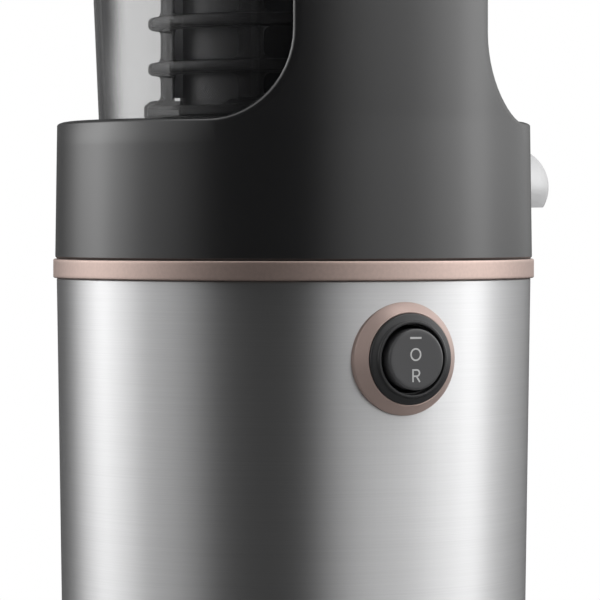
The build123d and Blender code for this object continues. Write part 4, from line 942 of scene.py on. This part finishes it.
lampLook = {  # degrees round the object from the camera, height, distance, width, height of the face, watts
    "leftBox": (-104, 0.50, 1.3, 0.30, 0.9, 0.7),
    "rightBox": (96, 0.50, 1.3, 0.40, 0.9, 1.0),
    "topBox": (170, 1.50, 0.3, 1.2, 1.2, 8.0),
}
for name, (side, height, distance, width, tall, watts) in lampLook.items():
    data = bpy.data.lights.new(name, "AREA")
    data.shape, data.size, data.size_y, data.energy = "RECTANGLE", width, tall, watts
    lamp = bpy.data.objects.new(name, data)
    bpy.context.scene.collection.objects.link(lamp)
    angle = radians(viewLook["side"] + side)
    lamp.location = (distance * cos(angle), distance * sin(angle), height)
    lamp.rotation_euler = (Vector((0, 0, 0.2)) - lamp.location).to_track_quat("-Z", "Y").to_euler()
    lamp.visible_camera = False

studioLook = {  # a dark room with four tall pale walls and a soft box at each side
    "room": 0.012,
    # degrees round from the camera, start, level
    "walls": [(66, 0.47, 1.55), (112, 0.48, 0.95), (-93, 0.52, 1.22), (180, 0.30, 0.15)],
    # degrees round from the camera, degrees up, start, level
    "boxes": [(99, 8, 0.75, 0.62), (-105, 8, 0.857, 1.75)],
}


def studio():
    world = bpy.data.worlds.new("studio")
    bpy.context.scene.world = world
    world.use_nodes = True
    kit = NodeKit(world.node_tree, "Background")
    toward = kit.node("ShaderNodeTexCoord", output="Generated")
    level = kit.node("ShaderNodeVectorMath", {"operation": "MULTIPLY"}, {0: toward, 1: (1, 1, 0)})
    level = kit.node("ShaderNodeVectorMath", {"operation": "NORMALIZE"}, {0: level})

    def glow(direction, side, rise, start, strength):
        angle, up = radians(viewLook["side"] + side), radians(rise)
        aim = (cos(angle) * cos(up), sin(angle) * cos(up), sin(up))
        along = kit.node("ShaderNodeVectorMath", {"operation": "DOT_PRODUCT"}, {0: direction, 1: aim}, 1)
        return kit.ease(along, start, 1.0, 0.0, strength)

    room = studioLook["room"]
    for side, start, strength in studioLook["walls"]:
        room = glow(level, side, 0, start, strength) + room
    for side, rise, start, strength in studioLook["boxes"]:
        room = glow(toward, side, rise, start, strength) + room
    straight = kit.node("ShaderNodeLightPath", output="Is Camera Ray")
    seen = straight + kit.node("ShaderNodeLightPath", output="Is Transmission Ray")
    kit.set(Color=tint((1, 1, 1)), Strength=seen + (1 - seen) * room)


studio()

floorLook = {"pale": 0.82, "inGloss": 0.05, "fadeStart": 0.12, "fadeEnd": 0.50, "radius": 9000}


def floor():
    # pale round the object, plain white further out, and dim where the steel mirrors it
    kit = newFinish("floorPale", Roughness=0.9)
    gloss = kit.node("ShaderNodeLightPath", output="Is Glossy Ray")
    level = floorLook["pale"]
    pale = kit.mix(kit.noise(6), tint((0.97, 0.97, 0.97), level), tint((1, 1, 1), level))
    kit.set(Base_Color=kit.mix(gloss, pale, tint((1, 1, 1), floorLook["inGloss"])))
    away = kit.node("ShaderNodeVectorMath", {"operation": "LENGTH"}, {0: kit.place()}, "Value")
    fade = kit.ease(away, floorLook["fadeStart"], floorLook["fadeEnd"])
    seen = kit.node("ShaderNodeLightPath", output="Is Camera Ray")
    white = kit.node("ShaderNodeEmission")
    blend = kit.node("ShaderNodeMixShader", None,
                     {0: fade * seen, 1: Wire(kit.tree, kit.shader.outputs[0]), 2: white})
    feed(kit.tree.nodes["Material Output"].inputs[0], blend)
    bm = bmesh.new()
    loft(bm, [[(r * cos(2 * pi * k / 96), r * sin(2 * pi * k / 96), z) for k in range(96)]
              for r, z in ((floorLook["radius"], -2), (floorLook["radius"], -0.02))])
    mesh = settle(bm)
    mesh.materials.append(kit.material)
    made = bpy.data.objects.new("floor", mesh)
    bpy.context.scene.collection.objects.link(made)


floor()
bpy.context.scene.view_settings.view_transform = "Standard"
print("camera, lamps and floor done")
